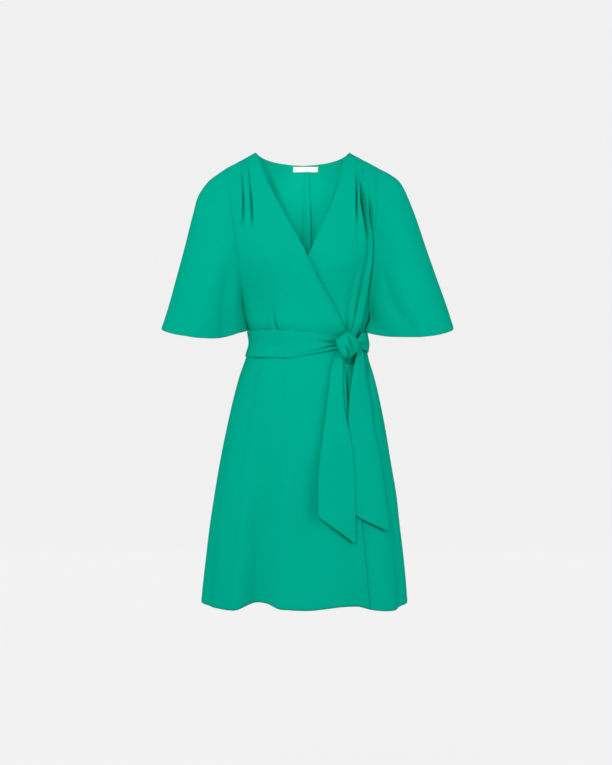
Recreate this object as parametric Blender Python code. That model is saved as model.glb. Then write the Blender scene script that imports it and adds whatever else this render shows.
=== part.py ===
"""A short-sleeved wrap dress, filled out and hollow, with its sash tied at the right of the front.

Every cloth piece is a closed wall of cloth thickness.  One body form carries them all: its level
sections are rounded ovals whose sizes stand in BODY, closed over the shoulders by a rolled top.  A
panel is a patch of that form, moved out by its lift (what it lies on) and by its folds.
The front looks along -Y, +X is at the viewer's right, +Z is up, and the origin lies in the neck
opening, on the line between the two points where the shoulder seams meet the neckline.
Numbers are millimetres and degrees.
"""
import bpy
import bmesh
import numpy as np

METRE = 0.001             # one millimetre in metres
CLOTH = 1.6               # thickness of a cloth wall
SASH_CLOTH = 2.0          # the sash is cut double
SEAM = 0.4                # clear gap between two pieces that are sewn together
LAYER = 3.4               # how far a piece lies out when one cloth wall is under it

WAIST = -401.0            # height of the waist seam
NECK_MIDDLE = -3.5        # x of the middle of the neck opening
NECK_HALF = 97.0          # from there to a neck point
NECK_TOP = -1.7           # height of the form at the neck points; the cloth lies on it
SHOULDER_SLOPE = 0.534    # fall of the shoulder seam for each millimetre outwards
SHOULDER_ROLL = 85.0      # height over which the form rolls from front to back at the shoulder
SQUARENESS = 2.25         # 2 is an ellipse, more is squarer

# the body form, a row for each height: how far it reaches to the left, right, front and back
BODY = (
    # height, left, right, front, back
    (60.0, -187.0, 184.0, 54.0, 72.0),
    (-60.0, -187.0, 184.0, 62.0, 84.0),
    (-110.0, -180.0, 178.0, 80.0, 91.0),
    (-150.0, -172.0, 172.0, 96.0, 93.0),
    (-190.0, -165.0, 166.0, 108.0, 92.0),
    (-230.0, -157.0, 160.0, 111.0, 90.0),
    (-260.0, -150.0, 155.0, 109.0, 88.0),
    (-300.0, -138.0, 146.0, 104.0, 85.0),
    (-345.0, -126.0, 137.5, 98.0, 80.0),
    (-372.0, -115.5, 132.5, 92.0, 76.0),
    (-401.0, -110.0, 129.0, 88.0, 74.0),
    (-430.0, -120.5, 133.5, 93.0, 80.0),
    (-468.0, -134.0, 145.0, 101.0, 90.0),
    (-514.0, -146.5, 156.3, 108.0, 99.0),
    (-582.0, -162.0, 169.8, 116.0, 108.0),
    (-649.0, -175.3, 180.8, 124.0, 114.0),
    (-716.0, -186.5, 192.2, 131.0, 120.0),
    (-783.0, -196.7, 199.8, 138.0, 126.0),
    (-850.0, -204.9, 207.9, 145.0, 132.0),
    (-918.0, -212.7, 214.4, 151.0, 138.0),
    (-960.0, -216.5, 217.0, 154.0, 141.0),
)
BUST = {"apart": 72.0, "height": -215.0, "wide": 46.0, "tall": 58.0, "full": 15.0}

# where the sleeve is sewn in, a row for each share of the way from shoulder seam to waist seam
ARMHOLE = (
    # share, left x, right x
    (0.0, -161.0, 152.5),
    (0.10, -156.0, 150.8),
    (0.232, -150.0, 148.4),
    (0.453, -139.0, 143.3),
    (0.636, -130.0, 138.8),
    (0.72, -126.5, 136.3),
    (0.79, -125.5, 135.2),
)
UNDERARM = 0.856          # the share at which the armhole closes and the side seam starts

# free edges of the two wrapped fronts, from the neck point down to the waist seam: x, height
OVER_EDGE = ((-100.5, -1.7), (-75.0, -63.6), (-34.2, -140.3), (7.5, -218.0), (33.7, -270.7),
             (62.4, -323.5), (82.0, -368.4), (93.5, -401.0))
UNDER_EDGE = ((93.5, -1.7), (85.3, -29.3), (67.0, -81.6), (46.0, -133.0), (27.8, -173.4),
              (11.0, -210.0), (-30.0, -310.0), (-70.0, -401.0))
BACK_NECK = ((0.0, -24.0), (31.0, -21.9), (64.0, -16.8), (81.0, -11.4), (92.0, -5.6), (97.0, -1.7))
BACK_SEAM = ((-401.0, 10.0), (-217.0, 9.0), (-50.0, 3.0), (0.0, 2.0))

# folds of the front bodice: route (height, x), depth, width across, and where each fades in and out
BODICE_FOLDS = (
    {"route": ((-165.0, -126.2), (-98.0, -124.4), (-30.0, -129.5)), "deep": 3.6, "wide": 5.5,
     "from": -30.0, "to": -165.0},
    {"route": ((-165.0, -103.0), (-98.0, -108.3), (-30.0, -115.0)), "deep": 3.6, "wide": 5.5,
     "from": -30.0, "to": -165.0},
    {"route": ((-180.0, 107.0), (-103.0, 109.6), (-30.0, 107.2)), "deep": 3.6, "wide": 5.5,
     "from": -30.0, "to": -180.0},
    {"route": ((-370.0, 97.1), (-325.0, 109.4), (-283.0, 117.2), (-240.0, 125.4), (-205.0, 132.6),
               (-157.0, 130.3), (-118.0, 125.7), (-80.0, 120.2), (-30.0, 112.5)), "deep": 6.0,
     "wide": 6.5, "from": -40.0, "to": -385.0},
    {"route": ((-373.0, 121.5), (-337.0, 128.8), (-280.0, 137.0), (-195.0, 143.3), (-109.0, 137.0)),
     "deep": 3.4, "wide": 5.5, "from": -90.0, "to": -385.0},
    {"route": ((-370.0, 85.8), (-286.0, 95.0), (-222.0, 106.7)), "deep": 3.2, "wide": 6.0,
     "from": -215.0, "to": -390.0},
    {"route": ((-368.0, -50.5), (-315.0, -64.5)), "deep": 2.6, "wide": 5.5, "from": -300.0,
     "to": -378.0},
)

# hollows between the flutes of the skirt: angle round from the front, half width, depth at the hem
FLUTES = (
    # angle, wide, deep
    (-158.0, 11.0, 21.0), (-118.0, 11.0, 15.0), (-70.0, 9.0, 9.0), (-26.0, 9.5, 25.0),
    (31.0, 10.0, 19.0), (70.0, 8.0, 9.0), (112.0, 11.0, 16.0), (152.0, 12.0, 20.0),
)
FLUTE_TOP = -520.0        # the flutes open below this height
HEM = (
    # angle round from the front, height
    (-180.0, -938.0), (-158.0, -931.0), (-138.0, -940.0), (-118.0, -934.0), (-90.0, -941.5),
    (-70.0, -943.6), (-54.0, -943.6), (-42.6, -944.5), (-33.6, -935.3), (-25.7, -926.0),
    (-18.6, -927.2), (-12.1, -936.4), (1.3, -940.4), (16.0, -934.0), (24.0, -933.9),
    (31.0, -936.0), (38.7, -943.2), (48.0, -947.7), (60.0, -949.0), (73.0, -945.0),
    (90.0, -941.0), (112.0, -934.0), (132.0, -940.0), (152.0, -931.0), (180.0, -938.0),
)
WRAP_EDGE = ((-930.0, 137.2), (-859.5, 130.0), (-756.0, 119.0), (-594.0, 97.0), (-401.0, 90.0))
UNDERLAP = -38.0          # angle at which the hidden front edge of the skirt ends
UNDERLAP_PLACE = 0.4      # the same as a share of the way from the left seam to the wrapped edge

# each sleeve: its outer line from the shoulder point down, and the open ring of its hem
SLEEVES = {
    "left": {
        "outer": ((-161.0, -34.0), (-182.0, -48.2), (-197.6, -60.3), (-207.6, -72.0), (-219.3, -90.5),
                  (-230.3, -128.0), (-247.5, -195.0), (-266.0, -262.0), (-285.3, -330.0),
                  (-299.5, -368.0)),
        "hem_middle": -210.0, "hem_half": 86.6, "lean": 8.0, "flat": 0.36,
        "valley": 118.0, "valley_deep": 2.0,
        "hem_heights": ((0.0, -367.0), (35.0, -374.8), (70.0, -382.0), (96.0, -386.8), (111.0, -387.2),
                        (126.0, -381.4), (147.0, -373.9), (180.0, -371.0))},    # angle from the tip
    "right": {
        "outer": ((152.5, -33.0), (181.5, -49.0), (196.5, -60.5), (204.5, -72.0), (213.5, -90.5),
                  (228.8, -128.0), (252.0, -195.0), (276.0, -262.0), (300.3, -330.0),
                  (312.5, -366.0)),
        "hem_middle": 225.0, "hem_half": 86.0, "lean": 10.0, "flat": 0.26,
        "valley": 107.0, "valley_deep": 3.0,
        "hem_heights": ((0.0, -367.0), (35.0, -374.8), (70.0, -382.0), (95.0, -384.3), (113.0, -383.8),
                        (139.0, -379.3), (152.0, -373.8), (180.0, -371.2))},
}
SLEEVE_DEPTH = 82.0       # half of the hem ring, front to back
SLEEVE_SQUARENESS = 3.2   # of the hem ring towards the body
SLEEVE_FLAT = (76.0, 42.0)          # where the front of the ring starts to hang flatter, and over how far
SLEEVE_LEAN = (24.0, 15.0)          # where the ring leans in beside the body: angle, half width
SLEEVE_RINGS = (0.0, 0.05, 0.12, 0.22, 0.35, 0.5, 0.66, 0.83, 1.0)

# the sash round the waist: angle from the front, upper edge, lower edge, lift
SASH_LEFT = (
    (-179.85, -373.0, -428.0, 3.2), (-120.0, -373.0, -428.0, 3.2), (-90.0, -372.5, -427.6, 3.4),
    (-64.0, -369.5, -427.5, 3.6), (-52.0, -368.2, -427.6, 5.0), (-42.0, -367.2, -427.7, 6.2),
    (-30.0, -366.3, -427.8, 6.2), (-12.0, -367.5, -427.0, 6.4),
    (-2.0, -369.6, -422.0, 6.6), (15.0, -375.5, -414.0, 6.9), (31.0, -384.5, -408.0, 7.4),
    (41.0, -390.0, -407.0, 7.8),
)
SASH_RIGHT = (
    (44.0, -391.0, -404.0, 7.8), (50.5, -387.0, -404.5, 7.8), (55.0, -379.5, -405.6, 7.4),
    (59.0, -374.0, -409.0, 7.0), (66.0, -372.5, -413.5, 6.4), (74.0, -372.5, -418.0, 5.6),
    (84.0, -372.5, -417.5, 4.4), (95.0, -372.7, -419.0, 3.6), (118.0, -373.0, -426.0, 3.2),
    (179.85, -373.0, -428.0, 3.2),
)
SASH_CAMBER = 2.2         # how far the sash bows out between its edges

# the two hanging ends of the sash: height, left edge x, right edge x, lift
END_FRONT = {
    "rows": ((-413.0, 68.0, 76.5, 9.0), (-430.0, 60.0, 76.0, 9.4), (-446.0, 55.0, 76.0, 9.8),
             (-481.0, 50.0, 76.5, 10.4), (-537.0, 43.5, 80.0, 11.6), (-575.0, 38.5, 88.0, 12.2),
             (-610.0, 34.5, 95.0, 12.2), (-652.0, 29.5, 101.0, 12.2), (-707.0, 28.0, 104.0, 12.2)),
    "foot": (-751.0, -808.0), "feet_x": (30.0, 105.0)}
END_REAR = {
    "rows": ((-410.0, 104.3, 112.4, 8.5), (-422.0, 102.3, 116.5, 8.2), (-440.0, 98.6, 119.0, 7.8),
             (-462.0, 94.5, 121.0, 7.4), (-475.0, 93.0, 122.8, 7.4), (-511.0, 89.4, 130.2, 7.4),
             (-548.0, 88.0, 135.0, 7.4), (-576.0, 88.5, 138.8, 7.4), (-619.0, 91.5, 148.5, 7.4),
             (-690.0, 96.0, 159.0, 7.4)),
    "foot": (-745.0, -788.0), "feet_x": (101.0, 172.0)}
END_CAMBER = 1.4

# the knot seen from the front, measured from its middle: the cloth turns over itself in rolls, each
# between two points and with a half width; the outline is an angle and a reach
KNOT = {"middle": (90.5, -400.6), "back": 12.8, "high": 26.0, "crease": 7.5}
KNOT_ROLLS = (
    # x, height, to x, to height, half width
    (3.0, 27.0, 15.0, -15.0, 13.0), (-8.0, 20.0, 3.0, -28.0, 9.5), (-22.0, 12.0, -9.0, -20.0, 9.0),
)
KNOT_OUTLINE = ((-176.0, 23.3), (-148.0, 22.3), (-128.0, 24.5), (-112.0, 27.6), (-87.0, 26.6),
                (-56.0, 23.6), (-27.0, 23.2), (2.0, 24.4), (30.0, 23.6), (53.0, 23.6),
                (78.0, 26.4), (96.0, 28.8), (111.0, 26.2), (127.0, 24.4), (142.0, 25.8),
                (156.0, 27.2), (170.0, 25.2), (184.0, 23.3))
KNOT_PROFILE = ((0.12, 1.0), (0.26, 0.99), (0.4, 0.97), (0.53, 0.94), (0.66, 0.89), (0.78, 0.81),
                (0.88, 0.71), (0.96, 0.55), (1.0, 0.35), (0.96, 0.14), (0.84, 0.02),
                (0.5, 0.0))                             # share of the reach, share of the height

LABEL = {"left": -23.4, "right": 30.0, "top": -25.5, "bottom": -37.0, "thick": 1.0, "clear": 1.0}

CLOTH_COLOUR = (0.0, 0.418, 0.283, 1.0)
LABEL_COLOUR = (0.86, 0.86, 0.85, 1.0)


def smooth_table(rows):
    """A smooth curve through the rows of a table of two columns."""
    knots, values = (np.array(column, dtype=float) for column in zip(*sorted(rows)))
    slopes = np.gradient(values, knots)

    def read(at):
        at = np.clip(np.asarray(at, dtype=float), knots[0], knots[-1])
        cell = np.clip(np.searchsorted(knots, at) - 1, 0, len(knots) - 2)
        width = knots[cell + 1] - knots[cell]
        t = (at - knots[cell]) / width
        return ((1 + 2 * t) * (1 - t) ** 2 * values[cell] + t ** 2 * (3 - 2 * t) * values[cell + 1]
                + t * (1 - t) ** 2 * width * slopes[cell] + t ** 2 * (t - 1) * width * slopes[cell + 1])
    return read


def column(rows, number, key=0):
    """The smooth curve of one column of a table over its key column."""
    return smooth_table([(row[key], row[number]) for row in rows])


def ease(t):
    """Rises smoothly from 0 to 1 as t goes from 0 to 1."""
    t = np.clip(t, 0.0, 1.0)
    return t * t * (3 - 2 * t)


left_of, right_of, front_of, back_of = (column(BODY, number) for number in (1, 2, 3, 4))


def shoulder_line(x):
    """Height of the top ridge of the form at x."""
    return NECK_TOP - SHOULDER_SLOPE * (np.abs(x - NECK_MIDDLE) - NECK_HALF)


def roll(x, z):
    """How far the rolled shoulder lets the form reach its full depth, from 0 to 1."""
    below = np.clip((shoulder_line(x) - z) / SHOULDER_ROLL, 0.0, 1.0)
    return np.sqrt(1 - (1 - below) ** 2)


def form_level(x, y, z):
    """0 on the body form, more outside it: measured across, or down from the shoulder roll."""
    left, right = left_of(z), right_of(z)
    depth = np.where(y < 0, front_of(z), back_of(z))
    across = np.abs(x - (left + right) / 2) / ((right - left) / 2)
    reach = depth * np.clip(1 - across ** SQUARENESS, 1e-6, 1.0) ** (1 / SQUARENESS)
    share = np.clip(np.abs(y) / reach, 0.0, 0.999)
    below_roll = SHOULDER_ROLL * (1 - np.sqrt(1 - share ** 2)) - (shoulder_line(x) - z)
    full = depth * np.maximum(roll(x, z), 0.02)
    level = (across ** SQUARENESS + (np.abs(y) / full) ** SQUARENESS) ** (1 / SQUARENESS) - 1
    return below_roll, level


def form_depth(x, z, side):
    """y of the form at x and z, on its front (side -1) or back (side 1)."""
    left, right = left_of(z), right_of(z)
    across = np.clip(np.abs(x - (left + right) / 2) / ((right - left) / 2), 0.0, 1.0)
    depth = (front_of(z) if side < 0 else back_of(z)) * roll(x, z)
    reach = depth * (1 - across ** SQUARENESS) ** (1 / SQUARENESS)
    return side * np.maximum(reach, SEAM / 2)


def form_normal(x, y, z):
    """Unit directions that point out of the form."""
    step = 0.02
    ahead = [form_level(*(c + step * (axis == n) for n, c in enumerate((x, y, z)))) for axis in range(3)]
    behind = [form_level(*(c - step * (axis == n) for n, c in enumerate((x, y, z)))) for axis in range(3)]
    rolled, level = (np.stack([a[kind] - b[kind] for a, b in zip(ahead, behind)], axis=-1)
                     for kind in (0, 1))
    near_top = (shoulder_line(x) - z < 0.25 * SHOULDER_ROLL)[..., None]
    out = np.where(near_top, rolled, level)
    return out / np.linalg.norm(out, axis=-1, keepdims=True)


def fold_depth(fold, x, z):
    """Depth of one fold of the bodice at x and z."""
    route = smooth_table(fold["route"])
    along = ease((fold["from"] - z) / 30) * ease((z - fold["to"]) / 30)
    return -fold["deep"] * along * np.exp(-((x - route(z)) / fold["wide"]) ** 2)


def bodice_relief(x, z):
    """How far the front bodice stands out of the form: bust fullness less its folds."""
    relief = 0
    for side in (-1, 1):
        relief = relief + BUST["full"] * np.exp(-((x - side * BUST["apart"]) / BUST["wide"]) ** 2
                                                - ((z - BUST["height"]) / BUST["tall"]) ** 2)
    relief = relief * ease((z - WAIST) / 90)
    return relief + sum(fold_depth(fold, x, z) for fold in BODICE_FOLDS)


def turn_between(angle, middle):
    """Signed difference of two angles in degrees."""
    return (angle - middle + 180) % 360 - 180


def skirt_relief(angle, z):
    """How far the skirt stands in or out of the form at an angle round and a height."""
    opening = np.clip((FLUTE_TOP - z) / (FLUTE_TOP - HEM[0][1]), 0.0, 1.2) ** 1.4
    hollow = sum(deep * np.exp(-(turn_between(angle, middle) / wide) ** 2)
                 for middle, wide, deep in FLUTES)
    return -opening * hollow


def angle_of(x, z):
    """Angle round from the front of a point of the form's front."""
    left, right = left_of(z), right_of(z)
    across = np.clip((x - (left + right) / 2) / ((right - left) / 2), -1.0, 1.0)
    return np.degrees(np.arcsin(np.sign(across) * np.abs(across) ** (SQUARENESS / 2)))


def ring_point(angle, z):
    """Point of the form at an angle round from the front (90 is the right side) and a height."""
    turn = np.radians(angle)
    left, right = left_of(z), right_of(z)
    sine, cosine = np.sin(turn), np.cos(turn)
    x = (left + right) / 2 + (right - left) / 2 * np.sign(sine) * np.abs(sine) ** (2 / SQUARENESS)
    depth = np.where(cosine > 0, front_of(z), back_of(z))
    y = -depth * np.sign(cosine) * np.abs(cosine) ** (2 / SQUARENESS)
    return x, y, z


def fabric(name, colour, roughness):
    """A plain material."""
    material = bpy.data.materials.new(name)
    material.use_nodes = True
    shader = material.node_tree.nodes["Principled BSDF"]
    shader.inputs["Base Color"].default_value = colour
    shader.inputs["Roughness"].default_value = roughness
    shader.inputs["Metallic"].default_value = 0.0
    return material


def add_shell(name, inner, outer, tube=False, colour=CLOTH_COLOUR):
    """A closed wall between two grids of points of shape rows x columns x 3."""
    rows, columns = inner.shape[:2]
    mesh = bmesh.new()
    skins = [[[mesh.verts.new(point * METRE) for point in row] for row in grid]
             for grid in (inner, outer)]
    cells = columns if tube else columns - 1

    def quad(a, b, c, d):
        mesh.faces.new((a, b, c))
        mesh.faces.new((a, c, d))

    for skin, flip in zip(skins, (True, False)):
        for i in range(rows - 1):
            for j in range(cells):
                k = (j + 1) % columns
                corners = (skin[i][j], skin[i][k], skin[i + 1][k], skin[i + 1][j])
                if flip:
                    mesh.faces.new((corners[2], corners[1], corners[0]))
                    mesh.faces.new((corners[3], corners[2], corners[0]))
                else:
                    quad(*corners)
    low, high = skins
    for i, turned in ((0, False), (rows - 1, True)):
        for j in range(cells):
            k = (j + 1) % columns
            corners = (low[i][j], low[i][k], high[i][k], high[i][j])
            quad(*(corners[::-1] if turned else corners))
    if not tube:
        for j, turned in ((0, True), (columns - 1, False)):
            for i in range(rows - 1):
                corners = (low[i][j], low[i + 1][j], high[i + 1][j], high[i][j])
                quad(*(corners[::-1] if turned else corners))
    bmesh.ops.recalc_face_normals(mesh, faces=mesh.faces)
    data = bpy.data.meshes.new(name)
    mesh.to_mesh(data)
    mesh.free()
    data.shade_smooth()
    piece = bpy.data.objects.new(name, data)
    data.materials.append(fabric(name + "_cloth", colour, 0.72))
    bpy.context.scene.collection.objects.link(piece)
    return piece


def points(x, y, z):
    """A grid of points from grids of coordinates."""
    return np.stack(np.broadcast_arrays(x, y, z), axis=-1)


def wall(name, x, y, z, lift, thick=CLOTH, colour=CLOTH_COLOUR):
    """A piece that follows the form at x, y, z, moved out by lift."""
    base, out = points(x, y, z), form_normal(x, y, z)
    lift = np.broadcast_to(lift, x.shape)[..., None]
    add_shell(name, base + out * lift, base + out * (lift + thick), colour=colour)
    return base, out


def height_at(x, share, top=shoulder_line):
    """Height at a share of the way from the shoulder line, or another top line, to the waist."""
    return top(x) - share * (top(x) - WAIST - SEAM / 2)


def edge_over_share(edge):
    """x of a free edge of the front over the share of the way down."""
    return smooth_table([((shoulder_line(x) - z) / (shoulder_line(x) - WAIST), x) for x, z in edge])


def side_x(share, side):
    """x of the armhole above the underarm, and of the side seam below it."""
    limit = left_of if side < 0 else right_of
    seam = np.full_like(share, -115.0 if side < 0 else 130.0)
    for _ in range(6):
        seam = limit(height_at(seam, share))
    underarm = np.full(1, -125.0 if side < 0 else 135.0)
    for _ in range(6):
        underarm = limit(height_at(underarm, UNDERARM))
    armhole = smooth_table([(row[0], row[1 if side < 0 else 2]) for row in ARMHOLE]
                           + [(UNDERARM, float(underarm[0]))])
    return np.where(share < UNDERARM - 1e-6, armhole(share), seam)


def bodice_rows():
    """Shares of the way down at which the bodice has its rows, and the row of the underarm."""
    shoulder = [0.0, 0.012, 0.045, 0.1, 0.165]
    chest = list(np.linspace(0.165, 0.76, 10)[1:]) + [0.815, 0.845, UNDERARM]
    waist = list(np.linspace(UNDERARM, 1.0, 4)[1:])
    return np.array(shoulder + chest + waist), len(shoulder + chest) - 1


ROWS, UNDERARM_ROW = bodice_rows()


def front_columns(count):
    """Shares across a front panel from its side, closer together at the side."""
    even = np.linspace(0.0, 1.0, count)
    return 0.55 * even + 0.45 * (1 - np.cos(even * np.pi / 2))


def make_front_bodices():
    """The two wrapped fronts: the over one starts at the left side, the under one at the right."""
    share = ROWS[:, None]
    under_at = smooth_table([(z, x) for x, z in UNDER_EDGE])
    edges = {}
    for name, side, edge, count in (("front_bodice_over", -1, OVER_EDGE, 27),
                                    ("front_bodice_under", 1, UNDER_EDGE, 25)):
        side_edge = side_x(ROWS, side)[:, None]
        free_edge = edge_over_share(edge)(ROWS)[:, None]
        x = side_edge + (free_edge - side_edge) * front_columns(count)[None, :]
        z = height_at(x, share)
        lift = bodice_relief(x, z)
        if side < 0:
            lift = lift + LAYER * ease((x - under_at(z) + 26) / 18)
        base, out = wall(name, x, form_depth(x, z, -1), z, lift)
        edges[side] = (base[:, 0] + out[:, 0] * lift[:, 0, None], out[:, 0])
    return edges


def make_back_bodices():
    """The two backs, which meet at the centre back seam."""
    neck = smooth_table(BACK_NECK)

    def top(x):
        away = np.abs(x - NECK_MIDDLE)
        return np.where(away < NECK_HALF, neck(away), shoulder_line(x))

    share = ROWS[:, None]
    to_neck = np.array([0.0, 0.07, 0.22, 0.44, 0.7, 1.0])          # share of the way to the neck point
    past_neck = np.array([0.05, 0.14, 0.28, 0.45, 0.63, 0.81, 1.0])  # and from it to the centre seam
    edges = {}
    for name, side in (("back_bodice_left", -1), ("back_bodice_right", 1)):
        side_edge = side_x(ROWS, side)[:, None]
        seam = smooth_table(BACK_SEAM)(height_at(np.zeros_like(share), share)) + side * SEAM / 2
        neck_share = (NECK_MIDDLE + side * NECK_HALF - side_edge[0]) / (seam[0] - side_edge[0])
        across = np.concatenate([to_neck * neck_share, neck_share + past_neck * (1 - neck_share)])
        x = side_edge + (seam - side_edge) * across[None, :]
        z = height_at(x, share, top)
        base, out = wall(name, x, form_depth(x, z, 1), z, 0.0)
        edges[side] = (base[:, 0], out[:, 0])
    return edges


def make_sleeve(name, side, front_edge, back_edge):
    """A wide sleeve lofted from the armhole ring to its open hem."""
    sizes = SLEEVES["left" if side < 0 else "right"]
    ring, out = (np.concatenate([front[:UNDERARM_ROW + 1], back[UNDERARM_ROW - 1:0:-1]])
                 for front, back in zip(front_edge, back_edge))
    for index in (0, UNDERARM_ROW):                     # where front and back edges meet
        ring[index, 1] = 0.0
        out[index, 1] = 0.0
    out /= np.linalg.norm(out, axis=1, keepdims=True)
    along = np.roll(ring, -1, axis=0) - np.roll(ring, 1, axis=0)
    away = -side * np.cross(along, out)                 # off the bodice's edge, in its surface
    away /= np.linalg.norm(away, axis=1, keepdims=True)

    steps = np.linalg.norm(np.roll(ring, -1, axis=0) - ring, axis=1)
    travelled = np.concatenate([[0.0], np.cumsum(steps)[:-1]])
    front_length, whole = travelled[UNDERARM_ROW], steps.sum()
    angle = np.where(travelled <= front_length, 180 * travelled / front_length,
                     180 + 180 * (travelled - front_length) / (whole - front_length))
    turn = np.radians(angle)
    sine, cosine = np.sin(turn), np.cos(turn)
    from_under = np.abs(angle - 180)
    power = 2 / (SQUARENESS + (SLEEVE_SQUARENESS - SQUARENESS) * ease(1.3 - from_under / 90))
    lean_angle, lean_wide = SLEEVE_LEAN
    flat_from, flat_over = SLEEVE_FLAT
    flat = 1 - sizes["flat"] * ease((angle - flat_from) / flat_over) * (angle < 180)
    hem = points(sizes["hem_middle"] + side * sizes["hem_half"] * np.sign(cosine)
                 * np.abs(cosine) ** power
                 - side * sizes["lean"] * np.exp(-((from_under - lean_angle) / lean_wide) ** 2),
                 -SLEEVE_DEPTH * np.sign(sine) * np.abs(sine) ** power * flat,
                 smooth_table(sizes["hem_heights"])(np.where(angle > 180, 360 - angle, angle)))

    share = np.array(SLEEVE_RINGS)
    weight = ((1 + cosine) / 2) ** 1.3

    def loft(start):
        """Rings from start to the hem that bow out to the sleeve's outer line, and their normals."""
        line = np.array([(x, 0.0, z) for x, z in sizes["outer"]])
        line[0], line[-1] = start[0], hem[0]
        length = np.concatenate([[0.0], np.cumsum(np.linalg.norm(np.diff(line, axis=0), axis=1))])
        outer_line = np.stack([smooth_table(list(zip(length / length[-1], line[:, axis])))(share)
                               for axis in range(3)], axis=-1)
        bow = outer_line - (start[0] + (hem[0] - start[0]) * share[:, None])
        rings = (start[None] + (hem - start)[None] * share[:, None, None]
                 + bow[:, None] * weight[None, :, None])
        around = np.roll(rings, -1, axis=1) - np.roll(rings, 1, axis=1)
        normal = side * np.cross(around, np.gradient(rings, share, axis=0))
        return rings, normal / np.linalg.norm(normal, axis=2, keepdims=True)

    straight = (loft(ring)[1][0] * out).sum(axis=1)     # 1 where sleeve and bodice run on smoothly
    turned = np.sqrt(np.clip(1 - straight ** 2, 0.0, 1.0))
    back = np.clip(-straight, 0.0, 1.0) ** 0.7          # 1 where the sleeve doubles back under the arm
    base, normal = loft(ring + away * (SEAM + CLOTH * turned)[:, None]
                        + out * ((2 * CLOTH + 1.4 * SEAM) * back)[:, None])
    valley = np.exp(-((angle - sizes["valley"]) / 14) ** 2)[None] * ease((share - 0.2) / 0.8)[:, None]
    base = base - normal * (valley * sizes["valley_deep"])[..., None]
    add_shell(name, base, base + normal * CLOTH, tube=True)


def make_skirt():
    """The back of the skirt and its two wrapped fronts."""
    hem = smooth_table(HEM)
    wrap = smooth_table(WRAP_EDGE)
    down = np.array([0.0, 0.05, 0.12, 0.21, 0.31, 0.42, 0.53, 0.65, 0.77, 0.89, 1.0])[:, None]
    seam_turn = 0.02                                    # the side seam's gap, in degrees

    def panel(name, places, turn_at, covers):
        """A panel whose columns stand at the given places, which turn_at makes angles."""
        places = np.array(places)[None, :]
        z = np.full((len(down), places.shape[1]), WAIST) + down * (HEM[0][1] - WAIST)
        for _ in range(3):
            angle = turn_at(places, z)
            z = WAIST - SEAM / 2 + down * (hem(turn_between(angle, 0.0)) - WAIST)
        x, y, z = ring_point(angle, z)
        y = np.where(np.abs(y) < SEAM / 2, np.where(y < 0, -SEAM / 2, SEAM / 2), y)
        lift = skirt_relief(angle, z)
        if covers:
            lift = lift + (LAYER + down) * ease((angle - UNDERLAP + 8) / 8)
        wall(name, x, y, z, lift)

    def front_turn(place, z):
        """Angle at a place: 0 is the left side seam, 1 the wrapped edge, 2 the right side seam."""
        edge = angle_of(wrap(z), z)
        return np.where(place <= 1, -90 + seam_turn + (edge + 90) * place,
                        edge + (90 - seam_turn - edge) * (place - 1))

    over = [number / 22 for number in range(23)]
    under = [place for place in over if place > UNDERLAP_PLACE] + [1.1, 1.2, 1.3, 1.4, 1.5, 1.6,
                                                                   1.7, 1.8, 1.9, 2.0]
    behind = np.linspace(90.0 + seam_turn, 270.0 - seam_turn, 29)
    panel("skirt_back", behind, lambda place, z: place + 0 * z, False)
    panel("skirt_front_over", over, front_turn, True)
    panel("skirt_front_under", under, front_turn, False)


def make_sash():
    """The sash round the waist, joined at the centre back, in two halves that enter the knot."""
    across = np.linspace(0.0, 1.0, 5)[:, None]
    for name, rows, count in (("sash_left", SASH_LEFT, 30), ("sash_right", SASH_RIGHT, 24)):
        upper, lower, lift = (column(rows, number) for number in (1, 2, 3))
        angle = np.linspace(rows[0][0], rows[-1][0], count)[None, :]
        z = upper(angle) + across * (lower(angle) - upper(angle))
        x, y, z = ring_point(angle, z)
        bow = lift(angle) + SASH_CAMBER * (1 - (2 * across - 1) ** 2)
        wall(name, x, y, z, bow, SASH_CLOTH)


def make_end(name, sizes):
    """A hanging end of the sash, which lies on the skirt and is cut slanting at its foot."""
    rows = list(sizes["rows"])
    foot = min(sizes["foot"])
    rows.append((foot, sizes["feet_x"][0], sizes["feet_x"][1], rows[-1][3]))
    left_edge, right_edge, lift = (column(rows, number) for number in (1, 2, 3))
    across = np.linspace(0.0, 1.0, 7)[None, :]
    down = np.linspace(0.0, 1.0, 15)[:, None]
    end = sizes["foot"][0] + across * (sizes["foot"][1] - sizes["foot"][0])
    z = rows[0][0] + down * (end - rows[0][0])
    x = left_edge(z) + across * (right_edge(z) - left_edge(z))
    bow = lift(z) + END_CAMBER * (1 - (2 * across - 1) ** 2) * ease(down * 6)
    wall(name, x, form_depth(x, z, -1), z, bow + skirt_relief(angle_of(x, z), z), SASH_CLOTH)


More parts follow.
